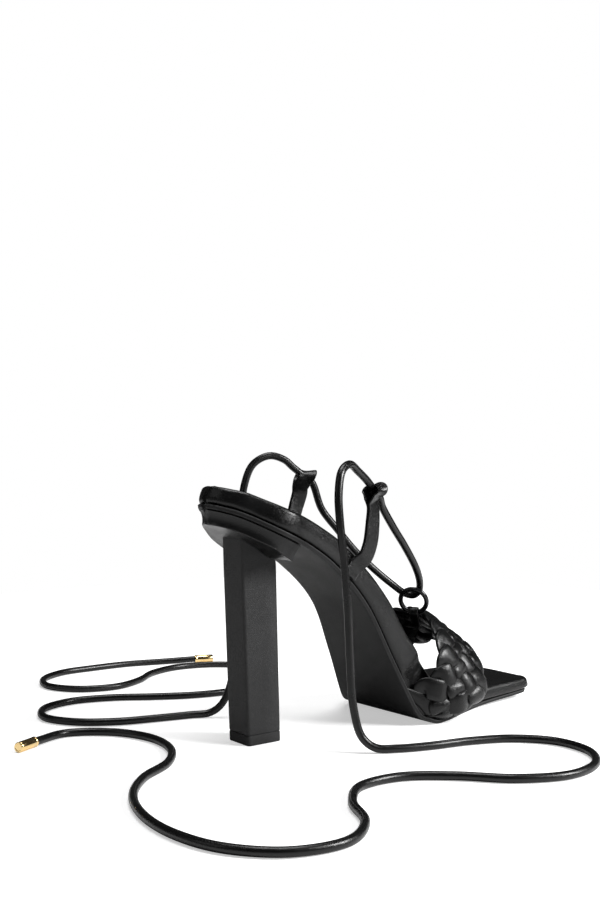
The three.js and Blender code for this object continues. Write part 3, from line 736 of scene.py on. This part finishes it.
# Points of the sole: along and across it, and above its underside
def solePoints(along, across, above):
    at = np.clip(along, 0, soleArc)
    foot = readPath(at, profileLengths, profile)
    slope = readPath(at, profileLengths, profileRuns)
    foot = foot + slope * (along - at)[..., None]
    x = foot[..., 0] - slope[..., 1] * (1 - uprightAt(along)) * above
    z = foot[..., 1] + slope[..., 0] * above
    return np.stack([x, across + 0 * x, z], axis=-1)


# along, thickness as a share of the insole's, and the furthest lean of its edge in degrees
insoleRows = [
    (0, 0.88, 90), (0.02, 0.92, 90), (0.04, 1.01, 90), (0.08, 1.05, 90), (0.2, 1.06, 90),
    (0.264, 1.1, 90), (0.314, 1.12, 90), (0.362, 1.19, 90), (0.396, 1.28, 90), (0.436, 1.33, 80),
    (0.47, 1.41, 70), (0.5, 1.54, 62), (0.52, 1.57, 56), (0.54, 1.61, 51.6), (0.56, 1.67, 45),
    (0.58, 1.77, 38.8), (0.6, 1.88, 32), (0.62, 1.92, 27), (0.65, 1.8, 14.5), (0.68, 1.63, 0),
    (0.7, 1.25, 0), (0.72, 1.01, 0), (0.74, 0.86, 0), (0.76, 0.79, 0), (0.8, 0.73, 0),
    (0.9, 0.69, 0), (1, 0.62, 0),
]


def insoleColumn(along, column):
    rows = np.array(insoleRows)
    return np.interp(along / soleArc, rows[:, 0], rows[:, column])


# Points of the insole: it stands on the outsole, and its edge leans no further forward than its rows allow
def insolePoints(along, across, above):
    level = outsole["thickness"] + clearance
    base = solePoints(along, across, level + 0 * along)
    at = np.clip(along, 0, soleArc)
    slope = readPath(at, profileLengths, profileRuns)
    lean = np.minimum(np.arctan2(-slope[..., 1], slope[..., 0]), np.radians(insoleColumn(at, 2)))
    rise = above - level
    forward = np.sin(lean) * (1 - uprightAt(along)) * rise
    return base + np.stack([forward, 0 * rise, np.cos(lean) * rise], axis=-1)


def buildSide(side):
    column = 1 if side == "medial" else 2
    points = [(row[0] * soleArc, row[column] * last["ballWidth"]) for row in outlineRows]
    corner = (soleArc, toeEdge[side] * last["ballWidth"])
    path = np.concatenate([
        splineThrough(points),
        bendThrough(points[-1], corner, (soleArc, corner[1] - last["toeCorner"]))[1:],
    ])
    return evenly(path, pathSteps)


sidePaths = {side: buildSide(side) for side in sideSign}
sideRuns = {side: tangentsOf(path) for side, path in sidePaths.items()}
evenShares = np.linspace(0, 1, pathSteps)


def sideAt(side, shares):
    path, runs = sidePaths[side], sideRuns[side]
    return readPath(shares, evenShares, path), readPath(shares, evenShares, runs)


def shareWhere(side, along):
    return np.interp(along, sidePaths[side][:, 0], evenShares)


def halfWidth(side, along):
    return sideAt(side, shareWhere(side, along))[0][..., 1]


def edgePoints(side, shares, inset, above, place=solePoints):
    point, run = sideAt(side, shares)
    along = point[..., 0] + run[..., 1] * inset
    across = sideSign[side] * (point[..., 1] - run[..., 0] * inset)
    return place(along, across, above)


stationShares = np.concatenate([
    np.linspace(0, 0.03, 16, endpoint=False),
    np.linspace(0.03, 0.16, 34, endpoint=False),
    np.linspace(0.16, 0.97, 130, endpoint=False),
    np.linspace(0.97, 1, 20),
])


# A plate that follows the sole: rim(side, along shares) gives rows of insets and heights, from the bottom up
def makePlate(name, rim, crownSteps, crown, sharpAngle=35, shares=stationShares, ends=(1.0, 1.0),
              place=solePoints):
    sheets = {}
    for side, reach in zip(("medial", "lateral"), ends):
        at = shares * reach
        rows = [edgePoints(side, at, inset, above, place) for inset, above in rim(side, at)]
        sheets[side] = np.stack(rows, axis=1)
    left, right = sheets["medial"], sheets["lateral"]
    spans = np.linspace(0, 1, crownSteps + 2)[1:-1]
    top = []
    for s in spans:
        row = left[:, -1] * (1 - s) + right[:, -1] * s
        row = row + np.stack([0 * row[:, 0], 0 * row[:, 0], crown(s, shares)], axis=-1)
        top.append(row)
    bottom = [left[:, 0] * s + right[:, 0] * (1 - s) for s in spans]
    rings = np.concatenate([left, np.stack(top, axis=1), right[:, ::-1], np.stack(bottom, axis=1)], axis=1)
    return loftRings(name, rings, sharpAngle)


def makeOutsole():
    t, e, b = outsole["thickness"], outsole["edge"], outsole["bead"]

    def rim(side, shares):
        zero = 0 * shares
        rows = [(e * 2.2, 0.0), (e, 0.00004), (e * 0.4, e * 0.3), (0.00004, e * 0.9), (0.0, e * 1.5)]
        rows += [(-b * 0.7, t * 0.58), (-b, t * 0.78), (-b * 0.4, t * 0.93)]
        rows += [(e * 0.6, t), (e * 2, t)]
        return [(inset + zero, above + zero) for inset, above in rows]

    plate = makePlate("outsolePlate", rim, 14, lambda s, shares: 0 * shares)
    finishPiece(plate, soleSheet, "sole_sheet", "outsole")


insole = {
    "thickness": 0.010,
    "edgeRadius": 0.0026,
    "groove": 0.0017,
    "crown": 0.0006,
    "recess": 0.0024,
    "recessRun": (0.512, 0.549),
    "feet": (0.552, 0.747),
    "recessFade": 0.014,
    "overhang": 0.0016,
    "overhangFull": 0.95,
    "belly": 0.00035,
    "pleat": 0.00022,
    "pleatRun": (0.05, 0.2),
}
# inset, share of the pleats and height of the rows near the outsole
insoleFoot = [
    (0.0034, 0.0, 0.0),
    (insole["groove"] * 1.3, 1.0, 0.0001),
    (insole["groove"] * 0.55, 1.0, 0.00035),
    (0.0002, 0.7, 0.0009),
    (-insole["belly"] * 0.3, 0.3, 0.0016),
]


def insoleInset(side, shares):
    along = sideAt(side, shares)[0][..., 0] / soleArc
    start = smoothStep(along, *insole["recessRun"])
    end = smoothStep(along, insole["feet"][1], insole["feet"][1] + insole["recessFade"])
    wide = smoothStep(along, insole["feet"][1], insole["overhangFull"])
    return insole["recess"] * (start - end) - insole["overhang"] * wide


def makeInsole():
    bottom = outsole["thickness"] + clearance
    radius = insole["edgeRadius"]

    def rim(side, shares):
        inset = insoleInset(side, shares)
        along = sideAt(side, shares)[0][..., 0] / soleArc
        top = bottom + insole["thickness"] * insoleColumn(along * soleArc, 1)
        # the leather is gathered under the edge round the seat
        gathered = 1 - smoothStep(along, *insole["pleatRun"])
        waves = np.sin(shares * 1450) * 0.6 + np.sin(shares * 903 + 1.3) * 0.4
        pleats = insole["pleat"] * gathered * waves
        rows = [(inset + out + pleats * part, bottom + high + 0 * inset) for out, part, high in insoleFoot]
        for share in (0.35, 0.6, 0.85):
            lift = share * (top - bottom - radius)
            belly = insole["belly"] * math.sin(math.pi * (0.15 + 0.75 * share))
            rows.append((inset - belly, bottom + lift))
        for angle in np.radians((0, 12, 25, 38, 52, 66, 80, 90)):
            rows.append((inset + radius * (1 - math.cos(angle)), top - radius * (1 - math.sin(angle))))
        rows.append((inset + radius * 1.5, top + 0.00006))
        return rows

    def crown(s, shares):
        return insole["crown"] * math.sin(math.pi * s) + 0 * shares

    plate = makePlate("insolePad", rim, 18, crown, place=insolePoints)
    finishPiece(plate, smoothLeather, "smooth_leather", "insole")


makeOutsole()
makeInsole()
print("sole made")


# Heel: the seat under the sole, the block and its rubber tip

heel = {
    "seatThickness": 0.0067,
    "seatLip": (0.0014, 0.025),
    "seatInsetTop": 0.0012,
    "seatInsetBottom": 0.0034,
    "seatWaist": 0.0006,
    "seatLength": 0.0404,
    "underInset": 0.0075,
    "width": 0.0168,
    "bottomLength": 0.0188,
    "topLength": 0.020,
    "rake": 0.0038,
    "edgeRadius": 0.0014,
    "tipHeight": 0.0049,
    "tipSeam": 0.0001,
    "cornerSteps": 7,
    "blockRun": (0.008, 0.084),
    "blockRows": 20,
    "blockTop": 0.094,
    "blockSunk": 0.0006,    # how far the block stands inside the seat
}


# The seat's height, a little more towards its front
def seatWall(along):
    drop, start = heel["seatLip"]
    return heel["seatThickness"] + drop * smoothStep(along, start, heel["seatLength"])


def makeSeat():
    ends = [shareWhere(side, heel["seatLength"]) for side in ("medial", "lateral")]
    shares = np.concatenate([np.linspace(0, 0.2, 26, endpoint=False), np.linspace(0.2, 1, 60)])

    def rim(side, at):
        zero = 0 * at
        wall = seatWall(sideAt(side, at)[0][..., 0])
        rows = [(heel["underInset"], -clearance - wall)]
        rows += [(heel["seatInsetBottom"] + 0.0012, -clearance - wall + 0.00012)]
        rows += [(heel["seatInsetBottom"] + 0.00035, -clearance - wall - 0.00002)]
        rows += [(heel["seatInsetBottom"], -clearance - wall + 0.00035)]
        for share in (0.25, 0.5, 0.75):
            lean = heel["seatInsetBottom"] + (heel["seatInsetTop"] - heel["seatInsetBottom"]) * share
            rows += [(lean + heel["seatWaist"] * math.sin(math.pi * share), -clearance - wall * (1 - share))]
        rows += [(heel["seatInsetTop"] + 0.0001, -clearance - 0.0004), (heel["seatInsetTop"] + 0.0006, -clearance)]
        return [(inset + zero, above + zero) for inset, above in rows]

    seat = makePlate("heelSeat", rim, 10, lambda s, at: 0 * at, 35, shares, ends)
    finishPiece(seat, smoothLeather, "smooth_leather", "heel_seat")


def seatUnderside(x):
    along = np.linspace(0, last["seatBlend"], 400)
    line = solePoints(along, 0 * along, -clearance - seatWall(along))
    return np.interp(x, line[:, 0], line[:, 2])


def heelOutline(level, grow=0.0):
    top = seatUnderside(0.0)
    share = level / top
    length = heel["bottomLength"] + (heel["topLength"] - heel["bottomLength"]) * share
    back = -heel["bottomLength"] / 2 - heel["rake"] * share - grow
    front = back + length + 2 * grow
    wide = heel["width"] / 2 + grow
    radius = heel["edgeRadius"]
    outline = []
    corners = [((front - radius, wide - radius), 0), ((back + radius, wide - radius), 90),
               ((back + radius, -wide + radius), 180), ((front - radius, -wide + radius), 270)]
    for (cx, cy), start in corners:
        for k in range(heel["cornerSteps"]):
            a = math.radians(start + 90 * k / (heel["cornerSteps"] - 1))
            outline.append((cx + radius * math.cos(a), cy + radius * math.sin(a)))
        nx, ny = corners[(corners.index(((cx, cy), start)) + 1) % 4][0]
        turn = math.radians(start + 90)
        p = np.array((cx + radius * math.cos(turn), cy + radius * math.sin(turn)))
        q = np.array((nx + radius * math.cos(turn), ny + radius * math.sin(turn)))
        outline += [tuple(p + (q - p) * s) for s in (0.25, 0.5, 0.75)]
    return outline


def makeHeelBlock():
    bottom = heel["tipHeight"] + heel["tipSeam"]
    levels = [(bottom, -0.0006), (bottom, -0.00025), (bottom + 0.00012, -0.00008), (bottom + 0.0004, 0.0)]
    levels += [(z, 0.0) for z in np.linspace(*heel["blockRun"], heel["blockRows"])]
    rings = [[(x, y, z) for x, y in heelOutline(z, grow)] for z, grow in levels]
    top = heelOutline(heel["blockTop"])
    rings.append([(x, y, float(seatUnderside(x)) + heel["blockSunk"]) for x, y in top])
    block = loftRings("heelBlock", rings, 30)
    finishPiece(block, heelLeather, "smooth_leather", "heel_block")


def makeHeelTip():
    top = heel["tipHeight"] - 0.00005
    levels = [(0.0, -0.0007), (0.0, -0.00025), (0.0002, -0.00005), (0.0006, 0.0), (top - 0.0005, 0.0)]
    levels += [(top - 0.00015, -0.00008), (top, -0.0003), (top, -0.0008)]
    rings = [[(x, y, z) for x, y in heelOutline(z, grow)] for z, grow in levels]
    finishPiece(loftRings("heelTip", rings, 30), heelRubber, "heel_rubber", "heel_tip")


makeSeat()
makeHeelBlock()
makeHeelTip()
print("heel made")


# Braid: five padded strips plaited over and under, with a lining below

strap = {
    "wall": 0.0026,
    "height": 0.052,
    "rows": 13,
    "strips": 5,
    "footReach": 0.2,
    "stripWidth": 0.0114,
    "stripThickness": 0.0031,
    "weaveRise": 0.0016,
    "lift": 0.0002,
    "square": 0.8,
    "endRun": 1.6,      # steps over which a strip's end turns to the foot line
    "footRun": 2.2,     # steps over which it sinks into the groove
    "footSink": 0.0009,
    "stepPoints": 16,
    "sectionSides": 28,
    "sideSwing": 0.16,
    "smoothReach": 0.42,
    "widthShares": (0.78, 0.22),    # of a strip that lies under, and what it gains over
    "thickShares": (0.74, 0.36),
    "tuckShares": (0.55, 0.45),     # the same from a strip's end inwards
    "tuckRun": (-0.4, 0.9),
    "liningRun": (0.06, 0.94),
    "liningDepths": (0.0002, 0.0014),
}

# x as shares of the sole's length, y of ballWidth, z of the strap's height: rear edge, then front edge
strapRows = [
    (0.425, -0.487, 0.5, 0.567, -0.537, 0.24),
    (0.446, -0.464, 0.67, 0.597, -0.435, 0.43),
    (0.472, -0.337, 0.85, 0.63, -0.267, 0.55),
    (0.514, -0.065, 0.985, 0.652, 0, 0.635),
    (0.516, 0.201, 0.985, 0.636, 0.212, 0.64),
    (0.478, 0.408, 0.86, 0.601, 0.422, 0.54),
    (0.428, 0.522, 0.54, 0.553, 0.552, 0.33),
]


def strapFoot(side, across):
    along = (insole["feet"][0] + (insole["feet"][1] - insole["feet"][0]) * across) * soleArc
    out = halfWidth(side, along) - insole["recess"] + clearance + strap["wall"] / 2
    level = np.array(outsole["thickness"] + clearance)
    return solePoints(np.array(along), np.array(sideSign[side] * out), level)


def strapEdge(across, column):
    scales = (last["length"], last["ballWidth"], strap["height"])
    points = [tuple(row[column + k] * scales[k] for k in range(3)) for row in strapRows]
    return routeThrough([strapFoot("lateral", across)] + points + [strapFoot("medial", across)], 60)


strapEdges = [strapEdge(0.0, 0), strapEdge(1.0, 3)]


def strapMiddle(around, across):
    index = around * (len(strapEdges[0]) - 1)
    rear, front = (
        np.array([np.interp(index, np.arange(len(e)), e[:, k]) for k in range(3)]) for e in strapEdges
    )
    point = rear * (1 - across) + front * across
    for side in ("lateral", "medial"):
        reach = around if side == "lateral" else 1 - around
        pull = 1 - smoothStep(reach, 0, strap["footReach"])
        if pull > 0:
            inside = min(max(across, 0.0), 1.0)
            straight = strapFoot(side, 0.0) * (1 - inside) + strapFoot(side, 1.0) * inside
            point = point + (strapFoot(side, inside) - straight) * pull
    return point


# The strap's middle surface as a grid, so that the strips can be placed on it quickly
gridSteps, gridPast = (130, 48), 0.1
gridAround = np.linspace(0, 1, gridSteps[0] + 1)
gridAcross = np.linspace(-gridPast, 1 + gridPast, gridSteps[1] + 1)
strapGrid = np.array([[strapMiddle(a, c) for c in gridAcross] for a in gridAround])
runAround = np.gradient(strapGrid, gridAround, axis=0)
runAcross = np.gradient(strapGrid, gridAcross, axis=1)
strapNormals = unitRows(np.cross(runAcross, runAround))
middleRun = lengthsAlong(strapGrid[:, gridSteps[1] // 2])
middleRun = middleRun / middleRun[-1]


def readGrid(grid, around, across):
    i = np.clip(around * gridSteps[0], 0, gridSteps[0] - 0.001)
    j = np.clip((across + gridPast) / (1 + 2 * gridPast) * gridSteps[1], 0, gridSteps[1] - 0.001)
    a, b = int(i), int(j)
    u, v = i - a, j - b
    return ((1 - u) * (1 - v) * grid[a, b] + u * (1 - v) * grid[a + 1, b]
            + (1 - u) * v * grid[a, b + 1] + u * v * grid[a + 1, b + 1])


# A strip's place across the strap, 0 to 4, and whether it is over or under, at a step along the plait
def stripPlace(step):
    q = step % 10
    if q <= 4:
        x = q
    elif q <= 5:
        x = 4 + strap["sideSwing"] * math.sin(math.pi * (q - 4))
    elif q <= 9:
        x = 9 - q
    else:
        x = -strap["sideSwing"] * math.sin(math.pi * (q - 9))
    if q <= 0.5:
        over = -math.cos(math.pi * (q + 1.5) / 2)
    elif q <= 3.5:
        over = math.sin(math.pi * q)
    elif q <= 5.5:
        over = -math.cos(math.pi * (q - 3.5) / 2)
    elif q <= 8.5:
        over = math.sin(math.pi * (q - 5))
    else:
        over = -math.cos(math.pi * (q - 8.5) / 2)
    return x, over


def smoothedPlace(step):
    reach = strap["smoothReach"]
    samples = [stripPlace(step + d) for d in np.linspace(-reach, reach, 7)]
    x = float(np.mean([s[0] for s in samples]))
    return x, stripPlace(step)[1]


def makeStrip(number):
    steps = strap["rows"] * 2
    count = steps * strap["stepPoints"]
    section = bandSection(strap["sectionSides"], strap["square"])
    centres, overs, normals, footways = [], [], [], []
    for i in range(count + 1):
        t = i / count
        step = t * steps
        x, over = smoothedPlace(step + 2 * number)
        across = (x + 0.5) / strap["strips"]
        around = float(np.interp(t, middleRun, gridAround))
        point = readGrid(strapGrid, around, across)
        normal = unit(readGrid(strapNormals, around, across))
        risen = smoothStep(min(step, steps - step), 0.0, strap["footRun"])
        rise = strap["lift"] + strap["weaveRise"] * over * risen - strap["footSink"] * (1 - risen)
        centres.append(point + normal * rise)
        normals.append(normal)
        footways.append(unit(readGrid(runAcross, around, across)))
        overs.append(over)
    centres, normals, overs = np.array(centres), np.array(normals), np.array(overs)
    runs = tangentsOf(centres)
    wideways = np.array([unit(np.cross(r, n)) for r, n in zip(runs, normals)])
    outward = np.array([unit(np.cross(w, r)) for w, r in zip(wideways, runs)])
    up = 0.5 + 0.5 * overs
    ends = np.minimum(np.arange(count + 1), count - np.arange(count + 1)) / strap["stepPoints"]
    tuck = smoothStep(ends, *strap["tuckRun"])
    footways = np.array(footways)
    footways *= np.sign(np.sum(footways * wideways, axis=1, keepdims=True))
    turned = (1 - smoothStep(ends, 0.0, strap["endRun"]))[:, None]
    wideways = unitRows(wideways * (1 - turned) + footways * turned)
    slim, gain = strap["widthShares"]
    wide = strap["stripWidth"] / 2 * (slim + gain * up)
    thin, swell = strap["thickShares"]
    low, rest = strap["tuckShares"]
    thick = strap["stripThickness"] / 2 * (thin + swell * up) * (low + rest * tuck)
    rings = bandRings(centres, wideways, outward, wide, thick, section)
    strip = loftRings(f"braidStrip_{number + 1}", rings, 60)
    finishPiece(strip, braidLeather, "smooth_leather", "vamp_braid")


def makeLining():
    columns = np.linspace(*strap["liningRun"], 25)
    over, under = strap["liningDepths"]
    rings = []
    for a in np.linspace(0, 1, 97):
        normal = [unit(readGrid(strapNormals, a, c)) for c in columns]
        point = [readGrid(strapGrid, a, c) for c in columns]
        outer = [p - over * n for p, n in zip(point, normal)]
        inner = [p - under * n for p, n in zip(point, normal)]
        rings.append(outer + inner[::-1])
    finishPiece(loftRings("braidLining", rings, 50), smoothLeather, "smooth_leather", "vamp_braid")


for number in range(strap["strips"]):
    makeStrip(number)
makeLining()
print("braid made")


# Ring on the braid's top edge, and the small loop that holds it

ring = {
    "centre": (0.0988, -0.005, 0.0592),
    "radius": 0.0069,
    "wire": 0.0025,
    "turn": 35,
    "lean": 22,
    "steps": 96,
    "sides": 24,
    "joint": 0.012,     # half the angle of the butt joint at the bottom, in turns
    "jointTrim": 0.1,
}
turn, lean = math.radians(ring["turn"]), math.radians(ring["lean"])
ringNormal = np.array((math.cos(turn) * math.cos(lean), math.sin(turn) * math.cos(lean), math.sin(lean)))
ringLevel = np.array((math.sin(turn), -math.cos(turn), 0.0))
ringUp = unit(np.cross(ringLevel, ringNormal))


def makeRing():
    centre = np.array(ring["centre"])
    rings = []
    joint, steps = ring["joint"], ring["steps"]
    for i in range(steps + 1):
        share = joint + (1 - 2 * joint) * i / steps
        a = -math.pi / 2 + 2 * math.pi * share
        out = math.cos(a) * ringLevel + math.sin(a) * ringUp
        trim = 1 - ring["jointTrim"] * (i in (0, steps))
        wire = trim * ring["wire"] / 2
        rings.append([
            centre + out * (ring["radius"] + wire * math.cos(b)) + ringNormal * wire * math.sin(b)
            for b in np.arange(ring["sides"]) * 2 * math.pi / ring["sides"]
        ])
    finishPiece(loftRings("laceRing", rings, 50), blackMetal, "black_metal", "vamp_ring")


ringLoop = {
    "width": 0.0042,
    "band": 0.0011,
    "hole": 0.00175,
    "slope": 58,
    "tail": 0.0075,
    "arc": (-68, -292),
    "square": 0.4,
}


def makeRingLoop():
    low = np.array(ring["centre"]) - ringUp * ring["radius"]
    slope = math.radians(ringLoop["slope"])
    run = np.array((math.cos(turn) * math.cos(slope), math.sin(turn) * math.cos(slope), -math.sin(slope)))
    up = unit(np.cross(-ringLevel, run))
    if up[2] < 0:
        up = -up
    middle = ringLoop["hole"] + ringLoop["band"] / 2
    flat = [(ringLoop["tail"], -middle * 0.55), (ringLoop["tail"] * 0.5, -middle * 0.75)]
    turns = np.radians(np.linspace(*ringLoop["arc"], 22))
    flat += [(middle * math.cos(a), middle * math.sin(a)) for a in turns]
    flat += [(ringLoop["tail"] * 0.45, middle * 0.25), (ringLoop["tail"] * 0.95, -middle * 0.1)]
    points = evenly(np.array([low + run * x + up * y for x, y in flat]), 70)
    runs = tangentsOf(points)
    wideways = np.array([ringLevel] * len(points))
    outward = np.array([unit(np.cross(r, ringLevel)) for r in runs])
    section = bandSection(20, ringLoop["square"])
    rings = bandRings(points, wideways, outward, ringLoop["width"] / 2, ringLoop["band"] / 2, section)
    finishPiece(loftRings("ringLoop", rings, 45), smoothLeather, "smooth_leather", "ring_loop")


makeRing()
makeRingLoop()
print("ring made")


# Tabs: one folded band each, up the sole's side, round the lace and back down on itself

tabForm = {
    "along": 0.285,
    "routes": {
        "lateral": [
            (0.0445, -0.0284, 0.0865), (0.0474, -0.0289, 0.093), (0.0488, -0.0289, 0.101),
            (0.0496, -0.0286, 0.110),
        ],
        "medial": [
            (0.0395, 0.0244, 0.093), (0.0418, 0.0256, 0.101), (0.0446, 0.026, 0.1095),
            (0.0464, 0.0252, 0.117),
        ],
    },
    "footShare": 0.6,
    "loopRadius": 0.0031,
    "foldLength": 0.0105,
    "loopDrop": 0.0020,
    "shaftSteps": 90,
    "bandSteps": 260,
    "twistRun": (0.55, 1.0),
    "layerApart": 1.02,     # as a share of half the thickness
    "arc": (-42, 222),
    "arcStretch": 1.12,
    "cut": 3,               # points that the loop takes from the top of the shaft
    "square": 0.32,
    "backing": 0.97,
}


def tabShaftPoints(side):
    sign = tab["sign"][side]
    along = np.array(tabForm["along"] * soleArc)
    out = np.array(sign * (float(halfWidth(side, along)) + clearance + tab["layer"]))
    low = outsole["thickness"] + clearance
    lifts = (0.0, insole["thickness"] * tabForm["footShare"])
    foot = [solePoints(along, out, np.array(low + lift)) for lift in lifts]
    axis = loopAxis(side)
    up = unit(np.array((0, 0, 1.0)) - axis * axis[2])
    top = np.array(tab["loops"][side]) - up * (tabForm["loopRadius"] + tabForm["loopDrop"])
    return foot + [np.array(p) for p in tabForm["routes"][side]] + [top], up


def makeTab(side):
    sign = tab["sign"][side]
    axis = loopAxis(side)
    control, up = tabShaftPoints(side)
    steps = tabForm["shaftSteps"]
    shaft = evenly(routeThrough(control), steps)
    runs = tangentsOf(shaft)
    outward, wideways = [], []
    for run in runs:
        o = np.array((0, sign, 0.0))
        o = unit(o - run * np.dot(o, run))
        outward.append(o)
        wideways.append(unit(np.cross(run, o)) * -sign)
    outward, wideways = np.array(outward), np.array(wideways)
    # towards its top the band turns so that its width lies along the lace
    twist = smoothStep(np.linspace(0, 1, steps), *tabForm["twistRun"])[:, None]
    target = axis if np.dot(axis, wideways[-1]) > 0 else -axis
    wideways = wideways * (1 - twist) + target * twist
    wideways = unitRows(wideways - runs * np.sum(wideways * runs, axis=1, keepdims=True))
    outward = np.cross(wideways, runs)
    outward *= np.sign(np.sum(outward * np.array((0, sign, 0)), axis=1, keepdims=True))
    half = tab["layer"] / 2
    centre = np.array(tab["loops"][side])
    sideways = unit(np.cross(axis, up))
    sideways = sideways if np.dot(sideways, outward[-1]) > 0 else -sideways
    radius = tabForm["loopRadius"]
    outer = shaft + outward * half * tabForm["layerApart"]
    loop = []
    for a in np.radians(np.linspace(*tabForm["arc"], 40)):
        loop.append(centre + radius * (math.cos(a) * sideways + math.sin(a) * up * tabForm["arcStretch"]))
    inner = shaft - outward * half * tabForm["layerApart"]
    fold = int(steps * tabForm["foldLength"] / lengthsAlong(shaft)[-1])
    cut = tabForm["cut"]
    whole = np.concatenate([outer[:-cut], np.array(loop), inner[-cut - fold:-cut][::-1]])
    line = evenly(whole, tabForm["bandSteps"])
    for _ in range(3):
        line[1:-1] = (line[:-2] + 2 * line[1:-1] + line[2:]) / 4
    lineRuns = tangentsOf(line)
    nearest = [int(np.argmin(np.linalg.norm(shaft - p, axis=1))) for p in line]
    wide = np.array([wideways[n] for n in nearest])
    wide = unitRows(wide - lineRuns * np.sum(wide * lineRuns, axis=1, keepdims=True))
    out = np.cross(wide, lineRuns)
    section = bandSection(24, tabForm["square"])
    rings = bandRings(line, wide, out, tab["width"] / 2, half, section)
    band = loftRings(f"tabBand_{side}", rings, 45)
    finishPiece(band, smoothLeather, "smooth_leather", f"tab_{side}")
    # the folded layer behind the shaft, from the foot up to the end of the fold
    back = inner[:-fold + 1]
    count, wide = len(back), tab["width"] / 2 * tabForm["backing"]
    rings = bandRings(back, wideways[:count], outward[:count], wide, half, section)
    finishPiece(loftRings(f"tabBacking_{side}", rings, 45), smoothLeather, "smooth_leather", f"tab_{side}")


for side in ("lateral", "medial"):
    makeTab(side)
print("tabs made")


# Floor and light

studio = {
    "backdrop": 1.0,
    "ambient": 0.04,
    "floorSize": 0.62,
    "floorColour": (0.8, 0.8, 0.8, 1),
    "floorGlow": 0.5,
    "floorRoughness": 0.7,
    "floorSpecular": 0.2,
    "lights": {
        # name: place, aim, size, power
        "softRight": ((0.75, -0.95, 0.75), (0.03, 0.0, 0.05), 0.5, 32.0),
        "softLeft": ((-1.15, 0.25, 0.8), (0.0, 0.0, 0.06), 0.7, 1.2),
        "softTop": ((0.1, 0.1, 1.4), (0.04, 0.0, 0.0), 0.7, 12.0),
    },
}


def makeStudio():
    world = bpy.data.worlds.new("studioWorld")
    world.use_nodes = True
    tree = world.node_tree
    background = tree.nodes["Background"]
    background.inputs["Color"].default_value = (1, 1, 1, 1)
    # the backdrop is white to the camera, and lights the shoe less than it shows
    seen = tree.nodes.new("ShaderNodeLightPath").outputs["Is Camera Ray"]
    strength = mathNode(tree, "MULTIPLY", seen, studio["backdrop"] - studio["ambient"])
    tree.links.new(mathNode(tree, "ADD", strength, studio["ambient"]), background.inputs["Strength"])
    scene.world = world
    size = studio["floorSize"]
    corners = [(-size, -size, 0), (size, -size, 0), (size, size, 0), (-size, size, 0)]
    floor = addMesh("studioFloor", corners, [(0, 1, 2, 3)])
    material, paper, shader = newMaterial("floorPaper")
    shader.inputs["Base Color"].default_value = studio["floorColour"]
    shader.inputs["Roughness"].default_value = studio["floorRoughness"]
    shader.inputs["Specular IOR Level"].default_value = studio["floorSpecular"]
    # the paper is a little brighter to the camera than it lights the shoe
    glow = paper.nodes.new("ShaderNodeLightPath").outputs["Is Camera Ray"]
    strength = mathNode(paper, "MULTIPLY", glow, studio["floorGlow"])
    shader.inputs["Emission Color"].default_value = (1, 1, 1, 1)
    paper.links.new(strength, shader.inputs["Emission Strength"])
    floor.data.materials.append(material)
    for name, (place, aim, size, power) in studio["lights"].items():
        data = bpy.data.lights.new(name, "AREA")
        data.energy = power
        data.shape = "SQUARE"
        data.size = size
        light = bpy.data.objects.new(name, data)
        light.location = place
        light.rotation_euler = (Vector(aim) - Vector(place)).to_track_quat("-Z", "Y").to_euler()
        scene.collection.objects.link(light)


makeStudio()
print("studio made")
